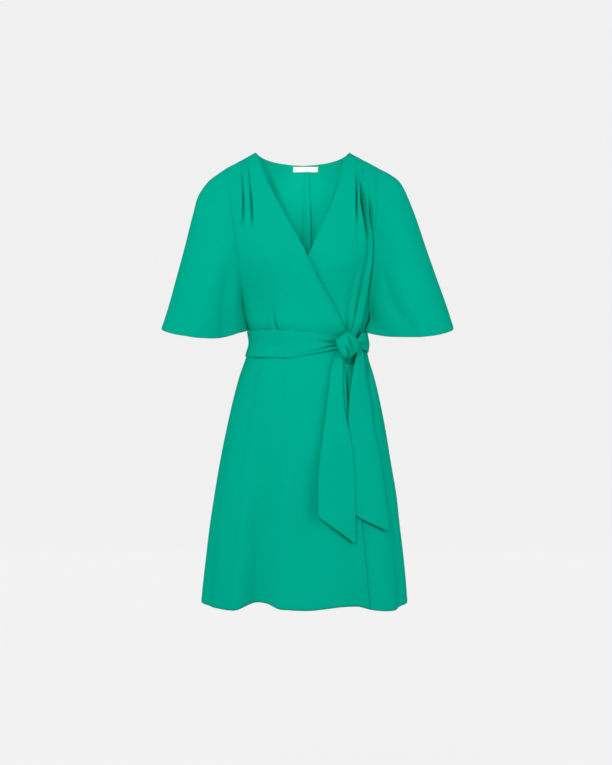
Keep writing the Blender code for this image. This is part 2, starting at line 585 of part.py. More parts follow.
def make_knot():
    """The knot of the sash: a rounded bundle in which the cloth turns over itself in rolls."""
    reach = smooth_table(KNOT_OUTLINE)
    turn = np.radians(np.linspace(-176.0, 184.0, 37)[:-1])
    middle_x, middle_z = KNOT["middle"]
    start = np.array([middle_x - 10.0]), np.array([middle_z])
    out = form_normal(start[0], form_depth(*start, -1), start[1])[0]
    out[2] = 0.0
    out /= np.linalg.norm(out)                          # the way the knot stands out, kept level

    near, high = (np.array(row)[:, None] for row in zip(*KNOT_PROFILE))
    across = near * reach(np.degrees(turn)) * np.cos(turn)
    upward = near * reach(np.degrees(turn)) * np.sin(turn)
    rolled = 0
    for x1, z1, x2, z2, half in KNOT_ROLLS:
        run = (x2 - x1) ** 2 + (z2 - z1) ** 2
        along = np.clip(((across - x1) * (x2 - x1) + (upward - z1) * (z2 - z1)) / run, 0.0, 1.0)
        away = np.hypot(across - x1 - along * (x2 - x1), upward - z1 - along * (z2 - z1))
        rolled = np.maximum(rolled, np.sqrt(1 - np.clip(away / half, 0.0, 1.0) ** 2))
    height = KNOT["back"] + high * KNOT["high"] - (1 - rolled) * KNOT["crease"] * ease(2 * high)
    x, z = middle_x + across, middle_z + upward
    y = form_depth(x - out[0] * height, z, -1) + out[1] * height

    mesh = bmesh.new()
    rings = [[mesh.verts.new(point * METRE) for point in ring] for ring in points(x, y, z)]
    for first, second in zip(rings, rings[1:]):
        for j in range(len(turn)):
            k = (j + 1) % len(turn)
            mesh.faces.new((first[j], first[k], second[k]))
            mesh.faces.new((first[j], second[k], second[j]))
    for ring in (rings[0], rings[-1][::-1]):
        centre = mesh.verts.new(sum((vertex.co for vertex in ring), ring[0].co * 0) / len(ring))
        for j, vertex in enumerate(ring):
            mesh.faces.new((vertex, centre, ring[(j + 1) % len(ring)]))
    bmesh.ops.recalc_face_normals(mesh, faces=mesh.faces)
    data = bpy.data.meshes.new("sash_knot")
    mesh.to_mesh(data)
    mesh.free()
    data.shade_smooth()
    data.materials.append(fabric("sash_knot_cloth", CLOTH_COLOUR, 0.72))
    bpy.context.scene.collection.objects.link(bpy.data.objects.new("sash_knot", data))


def make_label():
    """The blank woven label inside the back of the neck."""
    x = np.linspace(LABEL["left"], LABEL["right"], 8)[None, :]
    z = np.array([LABEL["top"], LABEL["bottom"]])[:, None]
    x, z = np.broadcast_arrays(x, z)
    wall("neck_label", x, form_depth(x, z, 1), z, -LABEL["clear"] - LABEL["thick"], LABEL["thick"],
         LABEL_COLOUR)


for old in list(bpy.data.objects):
    bpy.data.objects.remove(old, do_unlink=True)

front_edges = make_front_bodices()
back_edges = make_back_bodices()
make_sleeve("sleeve_left", -1, front_edges[-1], back_edges[-1])
make_sleeve("sleeve_right", 1, front_edges[1], back_edges[1])
make_skirt()
make_sash()
make_end("sash_end_front", END_FRONT)
make_end("sash_end_rear", END_REAR)
make_knot()
make_label()
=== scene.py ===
import math

import bmesh
import bpy
import numpy as np
from mathutils import Matrix, Vector


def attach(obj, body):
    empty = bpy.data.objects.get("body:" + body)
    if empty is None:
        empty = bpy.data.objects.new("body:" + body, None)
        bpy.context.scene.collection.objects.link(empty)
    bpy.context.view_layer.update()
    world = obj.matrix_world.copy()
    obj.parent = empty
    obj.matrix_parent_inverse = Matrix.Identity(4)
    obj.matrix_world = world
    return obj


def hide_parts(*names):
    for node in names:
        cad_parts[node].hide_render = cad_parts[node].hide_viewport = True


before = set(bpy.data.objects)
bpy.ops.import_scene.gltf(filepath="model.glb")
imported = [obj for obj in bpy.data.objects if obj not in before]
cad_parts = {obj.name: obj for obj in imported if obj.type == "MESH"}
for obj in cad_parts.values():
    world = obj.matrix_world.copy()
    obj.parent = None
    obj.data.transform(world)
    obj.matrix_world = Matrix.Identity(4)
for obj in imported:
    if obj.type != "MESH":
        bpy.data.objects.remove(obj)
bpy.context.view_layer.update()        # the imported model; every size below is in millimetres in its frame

mm = 0.001
print("frame loaded, pieces to dress:", len(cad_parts))


def smoothTable(rows):   # a smooth curve through the rows of a two-column table
    knots, values = (np.array(part, dtype=float) for part in zip(*sorted(rows)))
    slopes = np.gradient(values, knots)

    def read(at):
        at = np.clip(np.asarray(at, dtype=float), knots[0], knots[-1])
        cell = np.clip(np.searchsorted(knots, at) - 1, 0, len(knots) - 2)
        width = knots[cell + 1] - knots[cell]
        t = (at - knots[cell]) / width
        return ((1 + 2 * t) * (1 - t) ** 2 * values[cell] + t ** 2 * (3 - 2 * t) * values[cell + 1]
                + t * (1 - t) ** 2 * width * slopes[cell] + t ** 2 * (t - 1) * width * slopes[cell + 1])
    return read


def column(rows, number, key=0):
    return smoothTable([(row[key], row[number]) for row in rows])


def ease(t):   # 0 to 1, smooth at both ends
    t = np.clip(t, 0.0, 1.0)
    return t * t * (3 - 2 * t)


def bump(t, sharpness=2.0):   # 1 at 0, fading to both sides
    return np.exp(-np.abs(t) ** sharpness)


def signedPower(value, power):
    return np.sign(value) * np.abs(value) ** power


wornForm = {
    "waist": -401.0, "neckMiddle": -3.5, "neckHalf": 97.0, "neckTop": -1.7,
    "shoulderFall": 0.534,      # of the shoulder seam for each millimetre outwards
    "shoulderRoll": 85.0,       # height over which front turns into back
    "squareness": 2.25,         # of the level sections, 2 is an ellipse
    "levels": (
        # height, left, right, front, back
        (60, -187, 184, 54, 72), (-60, -187, 184, 62, 84),
        (-110, -180, 178, 80, 91), (-150, -172, 172, 96, 93),
        (-190, -165, 166, 108, 92), (-230, -157, 160, 111, 90),
        (-260, -150, 155, 109, 88), (-300, -138, 146, 104, 85),
        (-345, -126, 137, 98, 80), (-372, -115.5, 130, 92, 76),
        (-401, -110, 129, 88, 74), (-430, -120.5, 133.5, 93, 80),
        (-468, -134, 145, 101, 90), (-514, -146.5, 156.3, 108, 99),
        (-582, -162, 169.8, 116, 108), (-649, -175.3, 180.8, 124, 114),
        (-716, -186.5, 192.2, 131, 120), (-783, -196.7, 199.8, 138, 126),
        (-850, -204.9, 207.9, 145, 132), (-918, -212.7, 214.4, 151, 138),
        (-960, -216.5, 217, 154, 141),
    ),
    "bust": {"apart": 72.0, "height": -215.0, "wide": 46.0, "tall": 58.0, "full": 12.0},
    "cloth": 1.6,               # how far the outer face of the cloth lies off the form
    "wall": 1.2,                # thickness of the cloth
    "step": 0.02,               # between the points that give the form's outward direction
    "topShare": 0.25,           # share of the roll in which the shoulder line gives that direction
}
waist = wornForm["waist"]
leftOf, rightOf, frontOf, backOf = (column(wornForm["levels"], number) for number in (1, 2, 3, 4))


def shoulderLine(x):
    away = np.abs(x - wornForm["neckMiddle"]) - wornForm["neckHalf"]
    return wornForm["neckTop"] - wornForm["shoulderFall"] * away


def rollShare(x, z):   # how much of its depth the form has this close to the shoulder line
    below = np.clip((shoulderLine(x) - z) / wornForm["shoulderRoll"], 0.0, 1.0)
    return np.sqrt(1 - (1 - below) ** 2)


def across(x, z):   # -1 at the left limit of the form, 1 at the right
    left, right = leftOf(z), rightOf(z)
    return np.clip((x - (left + right) / 2) / ((right - left) / 2), -1.0, 1.0)


def formDepth(x, z, side):   # y of the form, on its front (-1) or back (1)
    square = wornForm["squareness"]
    depth = (frontOf(z) if side < 0 else backOf(z)) * rollShare(x, z)
    return side * depth * (1 - np.abs(across(x, z)) ** square) ** (1 / square)


def formLevels(x, y, z):   # two measures of how far outside the form a point is
    square = wornForm["squareness"]
    left, right = leftOf(z), rightOf(z)
    depth = np.where(y < 0, frontOf(z), backOf(z))
    aside = np.abs(x - (left + right) / 2) / ((right - left) / 2)
    reach = depth * np.clip(1 - aside ** square, 1e-6, 1.0) ** (1 / square)
    share = np.clip(np.abs(y) / reach, 0.0, 0.999)
    rolled = wornForm["shoulderRoll"] * (1 - np.sqrt(1 - share ** 2)) - (shoulderLine(x) - z)
    full = depth * np.maximum(rollShare(x, z), 0.02)
    return rolled, (aside ** square + (np.abs(y) / full) ** square) ** (1 / square) - 1


def formNormal(x, y, z):
    spot, step = (x, y, z), wornForm["step"]
    ahead, behind = ([formLevels(*(value + move * (axis == n) for n, value in enumerate(spot)))
                      for axis in range(3)] for move in (step, -step))
    rolled, level = (np.stack([a[kind] - b[kind] for a, b in zip(ahead, behind)], axis=-1)
                     for kind in (0, 1))
    nearTop = (shoulderLine(x) - z < wornForm["topShare"] * wornForm["shoulderRoll"])[..., None]
    out = np.where(nearTop, rolled, level)
    return out / np.linalg.norm(out, axis=-1, keepdims=True)


def angleOf(x, z):   # degrees round from the middle of the front
    return np.degrees(np.arcsin(signedPower(across(x, z), wornForm["squareness"] / 2)))


def ringPoint(angle, z):   # the form's point at an angle round from the front
    power = 2 / wornForm["squareness"]
    turn = np.radians(angle)
    left, right = leftOf(z), rightOf(z)
    x = (left + right) / 2 + (right - left) / 2 * signedPower(np.sin(turn), power)
    depth = np.where(np.cos(turn) > 0, frontOf(z), backOf(z))
    return x, -depth * signedPower(np.cos(turn), power), z


def gridOf(x, y, z):
    return np.stack(np.broadcast_arrays(x, y, z), axis=-1)


def raised(x, y, z, lift):   # points this far off the form, and the outward directions there
    out = formNormal(x, y, z)
    return gridOf(x, y, z) + out * np.broadcast_to(lift, out.shape[:-1])[..., None], out


def turnBetween(angle, middle):
    return (angle - middle + 180) % 360 - 180


def foldRelief(aside, along, folds, sharpness=1.7):   # troughs, or ridges where deep is below 0
    relief = np.zeros(np.broadcast(aside, along).shape)
    for rows in folds:   # a row is along, aside, deep, width before it, width after it if that differs
        place, deep, left, right = (column(rows, number)(along) for number in (1, 2, 3, -1))
        away = aside - place
        relief = relief - deep * bump(away / np.where(away < 0, left, right), sharpness)
    return relief


unevenness = {
    "waves": 5, "heading": 0.5, "scale": (0.7, 1.5), "slant": 0.35,
    # length of a wave, height, number of the random draw
    "front": (62.0, 0.35, 3), "back": (58.0, 0.35, 5), "sleeve": (60.0, 0.45, 11),
    "skirt": (70.0, 0.45, 17), "sash": (34.0, 0.3, 23),
}


def softWaves(aside, along, kind, shift=0):   # the small unevenness of hanging cloth
    size, height, seed = unevenness[kind]
    most, slant = unevenness["heading"], unevenness["slant"]
    draw = np.random.default_rng(seed + shift)
    total = 0
    for _ in range(unevenness["waves"]):
        heading, phase = draw.uniform(-most, most), draw.uniform(0, 2 * math.pi)
        length = size * draw.uniform(*unevenness["scale"])
        place = aside * math.cos(heading) + slant * along * math.sin(heading)
        total = total + np.sin(2 * math.pi * place / length + phase)
    return total * height / 3


class Value:   # a socket that takes part in sums
    def __init__(self, finish, socket):
        self.finish, self.socket = finish, socket

    def sum(self, operation, first, second):
        return self.finish.add("ShaderNodeMath", {"operation": operation}, {0: first, 1: second})

    def __add__(self, other):
        return self.sum("ADD", self, other)

    def __sub__(self, other):
        return self.sum("SUBTRACT", self, other)

    def __rsub__(self, other):
        return self.sum("SUBTRACT", other, self)

    def __mul__(self, other):
        return self.sum("MULTIPLY", self, other)

    __radd__ = __add__
    __rmul__ = __mul__


class Finish:   # a material built up node by node
    def __init__(self, name, constants):
        self.material = bpy.data.materials.new(name)
        self.material.use_nodes = True
        self.tree = self.material.node_tree
        self.shader = self.tree.nodes["Principled BSDF"]
        for socket, value in constants.items():
            self.shader.inputs[socket].default_value = value

    def add(self, kind, settings=None, values=None, output=0):
        node = self.tree.nodes.new(kind)
        for name, value in (settings or {}).items():
            if name == "stops":
                for stop, (place, colour) in zip(node.color_ramp.elements, value):
                    stop.position, stop.color = place, colour
            else:
                setattr(node, name, value)
        for socket, value in (values or {}).items():
            if isinstance(value, Value):
                self.tree.links.new(value.socket, node.inputs[socket])
            else:
                node.inputs[socket].default_value = value
        return Value(self, node.outputs[output])

    def drive(self, socket, value):
        self.tree.links.new(value.socket, self.shader.inputs[socket])

    def blend(self, share, low, high):   # a colour between two
        return self.add("ShaderNodeMix", {"data_type": "RGBA"}, {0: share, 6: low, 7: high}, output=2)


crepe = {
    "deep": (0.0, 0.375, 0.252, 1.0), "light": (0.0, 0.420, 0.284, 1.0),
    "roughness": 0.78, "threads": 2600.0,      # threads in a metre
    "pebble": 1500.0, "cloudiness": 7.0, "rise": 0.00012,
    "cloudShare": 0.7, "pebbleShare": 0.5, "below": 0.1,       # of the step from deep to light
    "pebbleRough": 0.12, "pebbleHigh": 0.8, "weaveHigh": 0.2,
}


def makeCrepe(name, shift):   # matt crepe: fine twisted threads that give it a pebbled face
    finish = Finish(name, {"Specular IOR Level": 0.0, "Specular Tint": (0.0, 0.9, 0.7, 1.0),
                           "Sheen Weight": 0.03, "Sheen Roughness": 0.5,
                           "Sheen Tint": (0.0, 0.9, 0.7, 1.0)})
    cloth = finish.add("ShaderNodeUVMap", {"uv_map": "cloth"})
    place = finish.add("ShaderNodeTexCoord", output="Object")
    apart = finish.add("ShaderNodeSeparateXYZ", None, {0: cloth})
    weft = Value(finish, apart.socket.node.outputs[1])
    turn = 2 * math.pi * crepe["threads"]
    warpWave = finish.add("ShaderNodeMath", {"operation": "SINE"}, {0: apart * turn})
    weftWave = finish.add("ShaderNodeMath", {"operation": "SINE"}, {0: weft * turn})
    pebble = finish.add("ShaderNodeTexNoise", None, {"Vector": cloth, "Scale": crepe["pebble"],
                                                     "Detail": 2.0, "Roughness": 0.6})
    clouds = finish.add("ShaderNodeTexNoise", {"noise_dimensions": "4D"},
                        {"Vector": place, "W": shift, "Scale": crepe["cloudiness"], "Detail": 2.0})
    share = clouds * crepe["cloudShare"] + pebble * crepe["pebbleShare"] - crepe["below"]
    finish.drive("Base Color", finish.blend(share, crepe["deep"], crepe["light"]))
    finish.drive("Roughness", pebble * crepe["pebbleRough"]
                 + (crepe["roughness"] - crepe["pebbleRough"] / 2))
    height = pebble * crepe["pebbleHigh"] + warpWave * weftWave * crepe["weaveHigh"]
    relief = {"Strength": 0.35, "Distance": crepe["rise"], "Height": height}
    finish.drive("Normal", finish.add("ShaderNodeBump", None, relief))
    return finish.material


crepes = {
    "bodice": makeCrepe("crepe_bodice", 0.0), "sleeve": makeCrepe("crepe_sleeve", 2.3),
    "skirt": makeCrepe("crepe_skirt", 4.1), "sash": makeCrepe("crepe_sash", 7.7),
}
print("cloth finishes made:", len(crepes))


edging = {
    "overlap": 0.5,
    "seamDip": 0.6, "seamWide": 1.4,           # a sewn edge turns in
    "pucker": 0.14, "puckerLength": 9.0, "puckerReach": 8.0,
    "turned": {"hem": 7.0, "band": 4.6}, "hemRise": 0.35,   # a turned edge is double and a little proud
    "stitchDip": 0.45, "stitchWide": 0.9,
    "roundDip": 0.5, "roundWide": 1.1, "foldRound": 0.8,
    "folded": 4.2, "foldDip": 0.3, "foldWide": 1.2,
}


def travelled(spots, axis):   # how far each point lies from the first of its row or column
    steps = np.linalg.norm(np.diff(spots, axis=axis), axis=2)
    return np.cumsum(np.concatenate([0 * np.take(steps, [0], axis=axis), steps], axis=axis), axis=axis)


def edgeRelief(kind, away, along):
    if kind == "seam":
        waves = np.sin(2 * math.pi * along / edging["puckerLength"] + 1.3 * np.sin(along / 23.0))
        return (-edging["seamDip"] * bump(away / edging["seamWide"])
                + edging["pucker"] * waves * bump(away / edging["puckerReach"]))
    if kind in edging["turned"]:
        inside = edging["turned"][kind] - away
        return (edging["hemRise"] * ease(inside / 1.2 + 0.5)
                - edging["stitchDip"] * bump(inside / edging["stitchWide"])
                - edging["roundDip"] * bump(away / edging["roundWide"]))
    return (-edging["foldRound"] * bump(away / edging["roundWide"])   # a folded edge over its allowance
            - edging["foldDip"] * bump((away - edging["folded"]) / edging["foldWide"]))


def closeSeams(spots, edges):   # sewn edges reach a little past the seam line
    spots = spots.copy()
    ends = {"start": (spots[:, 0], spots[:, 1]), "end": (spots[:, -1], spots[:, -2]),
            "top": (spots[0], spots[1]), "bottom": (spots[-1], spots[-2])}
    for side, (edge, inner) in ends.items():
        if edges.get(side) == "seam":
            away = edge - inner
            edge += edging["overlap"] * away / np.linalg.norm(away, axis=1, keepdims=True)
    return spots


def finishEdges(spots, out, edges):   # edges: side -> kind, or a list of (kind, weight along the edge)
    spots = closeSeams(spots, edges)
    right, down = travelled(spots, 1), travelled(spots, 0)
    places = {"start": (right, down), "end": (right[:, -1:] - right, down),
              "top": (down, right), "bottom": (down[-1:] - down, right)}
    relief = 0
    for side, kind in edges.items():
        kinds = kind if isinstance(kind, list) else [(kind, 1.0)]
        for one, weight in kinds:
            relief = relief + weight * edgeRelief(one, *places[side])
    return spots + out * np.broadcast_to(relief, spots.shape[:2])[..., None]


def finishPiece(name, mesh, material):
    data = bpy.data.meshes.new(name)
    mesh.to_mesh(data)
    mesh.free()
    data.shade_smooth()
    data.materials.append(material)
    piece = bpy.data.objects.new(name, data)
    bpy.context.scene.collection.objects.link(piece)
    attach(piece, "root")
    return piece


def unwrapFlat(mesh):   # the cloth's map is its view from the front
    unwrapped = mesh.loops.layers.uv.new("cloth")
    for face in mesh.faces:
        for loop in face.loops:
            loop[unwrapped].uv = (loop.vert.co.x, loop.vert.co.z)


def dress(node):
    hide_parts(node)


def makeCloth(name, spots, out, material, closed=False, wall=None):
    rows, columns = spots.shape[0] - 1, spots.shape[1] - 1
    right, down = travelled(spots, 1), travelled(spots, 0)
    mesh = bmesh.new()
    bmesh.ops.create_grid(mesh, x_segments=columns, y_segments=rows, size=0.5)
    unwrapped = mesh.loops.layers.uv.new("cloth")
    places = {vertex: (round((0.5 - vertex.co.y) * rows), round((vertex.co.x + 0.5) * columns))
              for vertex in mesh.verts}
    for vertex, place in places.items():
        vertex.co = spots[place] * mm
    for face in mesh.faces:
        for loop in face.loops:
            place = places[loop.vert]
            loop[unwrapped].uv = (right[place] * mm, down[place] * mm)
    mesh.normal_update()
    facing = sum(face.normal.dot(Vector(out[places[face.verts[0]]])) for face in mesh.faces)
    if facing < 0:
        bmesh.ops.reverse_faces(mesh, faces=mesh.faces)
    if closed:
        bmesh.ops.remove_doubles(mesh, verts=mesh.verts, dist=0.00001)
    piece = finishPiece(name, mesh, material)
    thicken = piece.modifiers.new("wall", "SOLIDIFY")
    thicken.thickness = (wall or wornForm["wall"]) * mm
    thicken.offset = -1.0
    return piece


def declareSheet(piece, cut, held, **more):
    width, length, filled = cut
    filled * width * length


stitch = {"pitch": 3.2, "long": 2.3, "wide": 0.5, "high": 0.35, "sides": 6, "rings": 4}


def sewLine(mesh, line, out):   # a row of stitches along points on the cloth
    steps = np.linalg.norm(np.diff(line, axis=0), axis=1)
    length = np.concatenate([[0.0], np.cumsum(steps)])
    places = np.arange(stitch["pitch"] / 2, length[-1], stitch["pitch"])
    spots, ups, ahead = (np.stack([np.interp(at, length, grid[:, axis]) for axis in range(3)], axis=-1)
                         for at, grid in ((places, line), (places, out), (places + 0.5, line)))
    for spot, up, aim in zip(spots, ups, ahead):
        forward = Vector(aim - spot).normalized()
        upward = Vector(up).normalized()
        aside = upward.cross(forward).normalized()
        turned = Matrix((forward, aside, upward)).transposed().to_4x4()
        size = Matrix.Diagonal((stitch["long"] * mm, stitch["wide"] * mm, stitch["high"] * mm, 1.0))
        placed = Matrix.Translation(Vector(spot) * mm) @ turned @ size
        bmesh.ops.create_uvsphere(mesh, u_segments=stitch["sides"], v_segments=stitch["rings"],
                                  radius=0.5, matrix=placed)


def lineInside(spots, side, away):   # the line that runs this far inside one edge of a sheet
    flipped = {"start": spots.transpose(1, 0, 2), "end": spots.transpose(1, 0, 2)[::-1],
               "top": spots, "bottom": spots[::-1]}[side]
    length = travelled(flipped, 0)
    return np.array([[np.interp(away, length[:, number], flipped[:, number, axis]) for axis in range(3)]
                     for number in range(flipped.shape[1])])


bodice = {
    "across": 230, "down": 104, "backAcross": 96, "backDown": 96, "neckColumn": 36,
    "underarm": 0.856,          # share of the way down at which the side seam starts
    "seamGuess": (-115, 130), "rollRows": (0.3, 0.23), "crowding": 1.12, "fullAbove": 90,
    "neckCrowding": 0.65,
    "layer": {"lift": 3.4, "before": 26, "wide": 18},      # where the upper front lies on the lower
    "armhole": (
        # share of the way down, left x, right x
        (0, -161, 152.5), (0.10, -156, 150.8), (0.232, -150, 148.4), (0.453, -139, 143.3),
        (0.636, -130, 138.8), (0.72, -126.5, 136.3), (0.79, -125.5, 135.2)),
    "overEdge": ((-100.5, -1.7), (-75, -63.6), (-34.2, -140.3), (7.5, -218), (33.7, -270.7),
                 (62.4, -323.5), (82, -368.4), (93.5, -401)),
    "underEdge": ((93.5, -1.7), (85.3, -29.3), (67, -81.6), (46, -133), (27.8, -173.4),
                  (11, -210), (-30, -310), (-70, -401)),
    # height, width and depth of the rolled neckline
    "curl": ((-1.7, 2.4, 8), (-12, 3.2, 15), (-25, 3.4, 19), (-60, 3.4, 24),
             (-110, 3, 17), (-150, 2, 6), (-200, 0, 0)),
    "lip": {"high": 1.2, "wide": 7, "groove": 2.6, "across": 1,      # along the wrapped edge
            "from": (-190, 40), "grooveFrom": ((-205, 40), (-290, 60))},   # height, fade
    "blouse": {"full": 2.8, "above": 44, "tall": 16, "fade": 7},   # puffs a little over the sash
    "backNeck": ((0, -24), (31, -21.9), (64, -16.8), (81, -11.4), (92, -5.6), (97, -1.7)),
    "backSeam": ((-401, 10), (-217, 9), (-50, 3), (0, 2)),
    "folds": (
        # each a table of height, x, deep, width to the left, width to the right
        ((-6, -131.5, 0.8, 1.2, 1), (-45, -128.6, 3, 1.4, 1.1), (-72, -126.6, 7, 1.6, 1.2),
         (-98, -125.2, 12, 1.7, 1.3), (-125, -125, 12, 1.8, 1.3), (-145, -125.5, 6, 2.4, 1.6),
         (-165, -126.2, 2, 3.5, 2.4), (-190, -127, 0, 5, 4)),
        ((-6, -119, 0.8, 1.2, 1), (-44, -113.7, 3, 1.4, 1.1), (-75, -110.9, 7, 1.6, 1.2),
         (-98, -109, 12, 1.8, 1.3), (-122, -107, 11.5, 2, 1.4), (-145, -105.2, 5.5, 2.8, 1.8),
         (-165, -103.2, 2, 4, 2.6), (-190, -101.5, 0, 5, 4)),
        ((-6, -126, 0.8, 1.2), (-30, -122.8, 1.6, 1.3), (-52, -121.5, 0, 1.5)),
        ((-295, -68, 0, 4, 3), (-315, -64.5, 1.2, 4, 2.5), (-330, -61.6, 3, 3.5, 2),
         (-345, -57.7, 6, 2.6, 1.6), (-360, -53.6, 8, 2.6, 1.5), (-368, -50.5, 8, 2.4, 1.5),
         (-388, -47, 7, 2.4, 1.5)),
        ((-338, -75, 0, 2.5), (-352, -72.5, 1.6, 2.2, 2), (-368, -69.5, 2.6, 2, 1.6), (-388, -69, 2, 2)),
        ((-352, -64.5, 0, 2), (-362, -63.8, 1.6, 1.8, 1.6),
         (-370, -63.4, 2.2, 1.8, 1.6), (-388, -63, 2, 2)),
        ((-352, -45, 0, 2), (-362, -45.8, 1.6, 1.8, 1.6),
         (-370, -46.2, 2.2, 1.8, 1.6), (-388, -46, 2, 2)),
        ((-350, -38.5, 0, 2), (-362, -39.5, 1.8, 1.8, 1.6),
         (-370, -40, 2.2, 1.8, 1.6), (-388, -40, 2, 2)),
        ((-356, -31, 0, 2), (-365, -31.5, 1.4, 2), (-370, -32, 1.8, 2), (-388, -32, 1.6, 2)),
        ((-280, -94, 0, 9), (-330, -84, 1.6, 10), (-366, -74, 2, 9), (-385, -72, 1.4, 9)),
        ((-225, -56, 0, 14), (-290, -16, 1.6, 14), (-350, 14, 1.2, 12), (-385, 24, 0, 10)),
        ((-12, 106.8, 0.6, 1.1, 1.2), (-40, 107.6, 2, 1.2, 1.3), (-60, 108.3, 6, 1.3, 1.5),
         (-78, 108.6, 12, 1.3, 1.7), (-103, 108.6, 14, 1.3, 1.8), (-125, 108.5, 9, 1.5, 2),
         (-150, 108.5, 3.5, 1.8, 3.2), (-180, 108.7, 2.2, 2.2, 5), (-205, 109, 0, 4, 7)),
        ((-12, 122.5, 0.8, 1.4), (-38, 121.5, 2.2, 1.5), (-52, 121, 2.6, 1.5),
         (-66, 121, 0, 1.6)),
        ((-12, 111, 0.6, 1.4), (-50, 114.5, 2.5, 1.6, 1.8), (-72, 118.6, 9, 2.4, 1.9),
         (-88, 122, 20, 4, 2.4), (-104, 125, 28, 5.2, 2.4), (-122, 128, 27, 5.4, 2.3),
         (-142, 130.8, 20, 5.2, 2.2), (-165, 133, 13, 5.4, 2.2), (-190, 135.2, 7.5, 6.5, 2.2),
         (-210, 135.6, 7, 8, 2.4), (-227, 132.6, 7, 8.5, 3), (-243, 128, 7.5, 7, 4),
         (-262, 123, 8.5, 5.5, 5),
         (-283, 118.8, 10, 4.5, 7.5), (-305, 114.6, 10.5, 4.2, 7.5), (-325, 110.6, 10, 3.8, 6.5),
         (-342, 106.4, 8.5, 3.2, 5), (-356, 102, 6.5, 2.8, 4), (-370, 97.5, 5, 2.6, 3.4),
         (-388, 93, 5, 2.6, 3)),
        ((-58, 131, 0, 2), (-80, 133.5, 2.5, 2.2, 2), (-100, 136.2, 5.5, 2.8, 2),
         (-118, 139.2, 13, 3.6, 2), (-136, 141.2, 20, 4, 2), (-155, 142.8, 17, 3.2, 2.2),
         (-175, 143.8, 10, 2.4, 2.2), (-200, 143.8, 7, 2.2, 2.4), (-226, 142.4, 6, 2.2, 2.8),
         (-256, 139.6, 6, 2.4, 3), (-280, 137, 6, 2.6, 3), (-305, 133.6, 6, 2.8, 3),
         (-320, 131.4, 6.5, 3), (-337, 128.6, 7.5, 3.2, 3), (-350, 125.2, 8.5, 3.4, 3.2),
         (-362, 121.5, 9.5, 3.6, 3.5), (-373, 117.5, 10, 4), (-388, 113, 8, 4)),
        ((-222, 106, 0, 8, 9), (-245, 104.4, 2, 8, 9), (-270, 101.8, 3.4, 8, 8.5),
         (-295, 98.4, 5, 8), (-320, 95, 6, 7.5, 7), (-345, 91, 6, 6, 5.5),
         (-370, 87.6, 5, 4, 3.6), (-388, 86, 4, 3)),
        ((-335, 91.5, 0, 1.5), (-350, 90.3, 3, 1.5), (-366, 89.9, 4, 1.5),
         (-388, 89, 3, 1.5)),
    ),
    "backFolds": (
        ((-250, -84, 0, 8), (-320, -74, 1.8, 8), (-366, -66, 3, 6), (-388, -63, 2.5, 5)),
        ((-300, -44, 0, 5), (-340, -40, 1.4, 5), (-370, -37, 2.2, 4), (-388, -36, 1.8, 4)),
        ((-315, -24, 0, 5), (-350, -22, 1, 5, 4), (-388, -20, 1.6, 4)),
        ((-290, 36, 0, 6, 5), (-340, 34, 1.6, 5), (-370, 31, 2.6, 4), (-388, 30, 2, 4)),
        ((-240, 92, 0, 9), (-310, 80, 1.8, 8), (-366, 68, 2.8, 6), (-388, 65, 2.4, 5)),
        ((-310, 54, 0, 5), (-350, 51, 1.2, 4), (-388, 49, 1.8, 4)),
        ((-100, 15.5, 0, 2, 4), (-135, 16.6, -4.5, 1.6, 5), (-165, 17.4, -7, 1.8, 6),
         (-200, 18.2, -8, 2, 7), (-235, 19.5, -5, 3, 7), (-280, 21, 0, 5, 7)),
        ((-44, 0.4, 0, 1.2), (-60, 0.2, -1.6, 1.4, 1), (-110, 0.8, -2.2, 1.8, 1.2),
         (-150, 2, -3.5, 4, 1.8), (-195, 4, -6, 9, 2.4), (-235, 5, -4, 9, 3), (-280, 5, 0, 6)),
        ((-130, -128, 0, 6, 10), (-190, -118, 2.2, 7, 12),
         (-260, -104, 1.6, 8, 12), (-330, -92, 0, 8, 10)),
        ((-120, 128, 0, 10, 6), (-180, 121, 2.4, 12, 7), (-250, 108, 1.6, 12, 8), (-320, 96, 0, 10, 8)),
    ),
    "allowance": {"wide": ((-36, 7.2), (-110, 8), (-150, 7.4), (-217, 4.8), (-380, 6)),
                  "down": 110, "across": 8, "clear": 1.5, "spring": 0.8, "wall": 0.8,
                  "cut": (0.011, 0.345, 0.62)},
    "cuts": {   # width, length, share of that rectangle that the cut fills
        "front_bodice_over": (0.285, 0.400, 0.64), "front_bodice_under": (0.285, 0.400, 0.65),
        "back_bodice_left": (0.210, 0.400, 0.78), "back_bodice_right": (0.200, 0.400, 0.79)},
}


def heightAt(x, share, top=shoulderLine):
    return top(x) - share * (top(x) - waist)


def sideX(share, side):   # the armhole above the underarm, the side seam below it
    limit = leftOf if side < 0 else rightOf

    def seamAt(amount):
        x = np.full_like(amount, bodice["seamGuess"][side > 0])
        for _ in range(8):
            x = limit(heightAt(x, amount))
        return x
    low = bodice["underarm"]
    rows = [(row[0], row[1 if side < 0 else 2]) for row in bodice["armhole"]]
    armhole = smoothTable(rows + [(low, float(seamAt(np.full(1, low))[0]))])
    return np.where(share < low - 1e-6, armhole(share), seamAt(share))


def downShares(count):   # closer together on the shoulder's roll
    place = np.linspace(0.0, 1.0, count + 1)
    rows, reach = bodice["rollRows"]
    rolled = reach * (1 - np.cos(np.clip(place / rows, 0, 1) * math.pi / 2))
    return np.where(place < rows, rolled, reach + (place - rows) / (1 - rows) * (1 - reach))


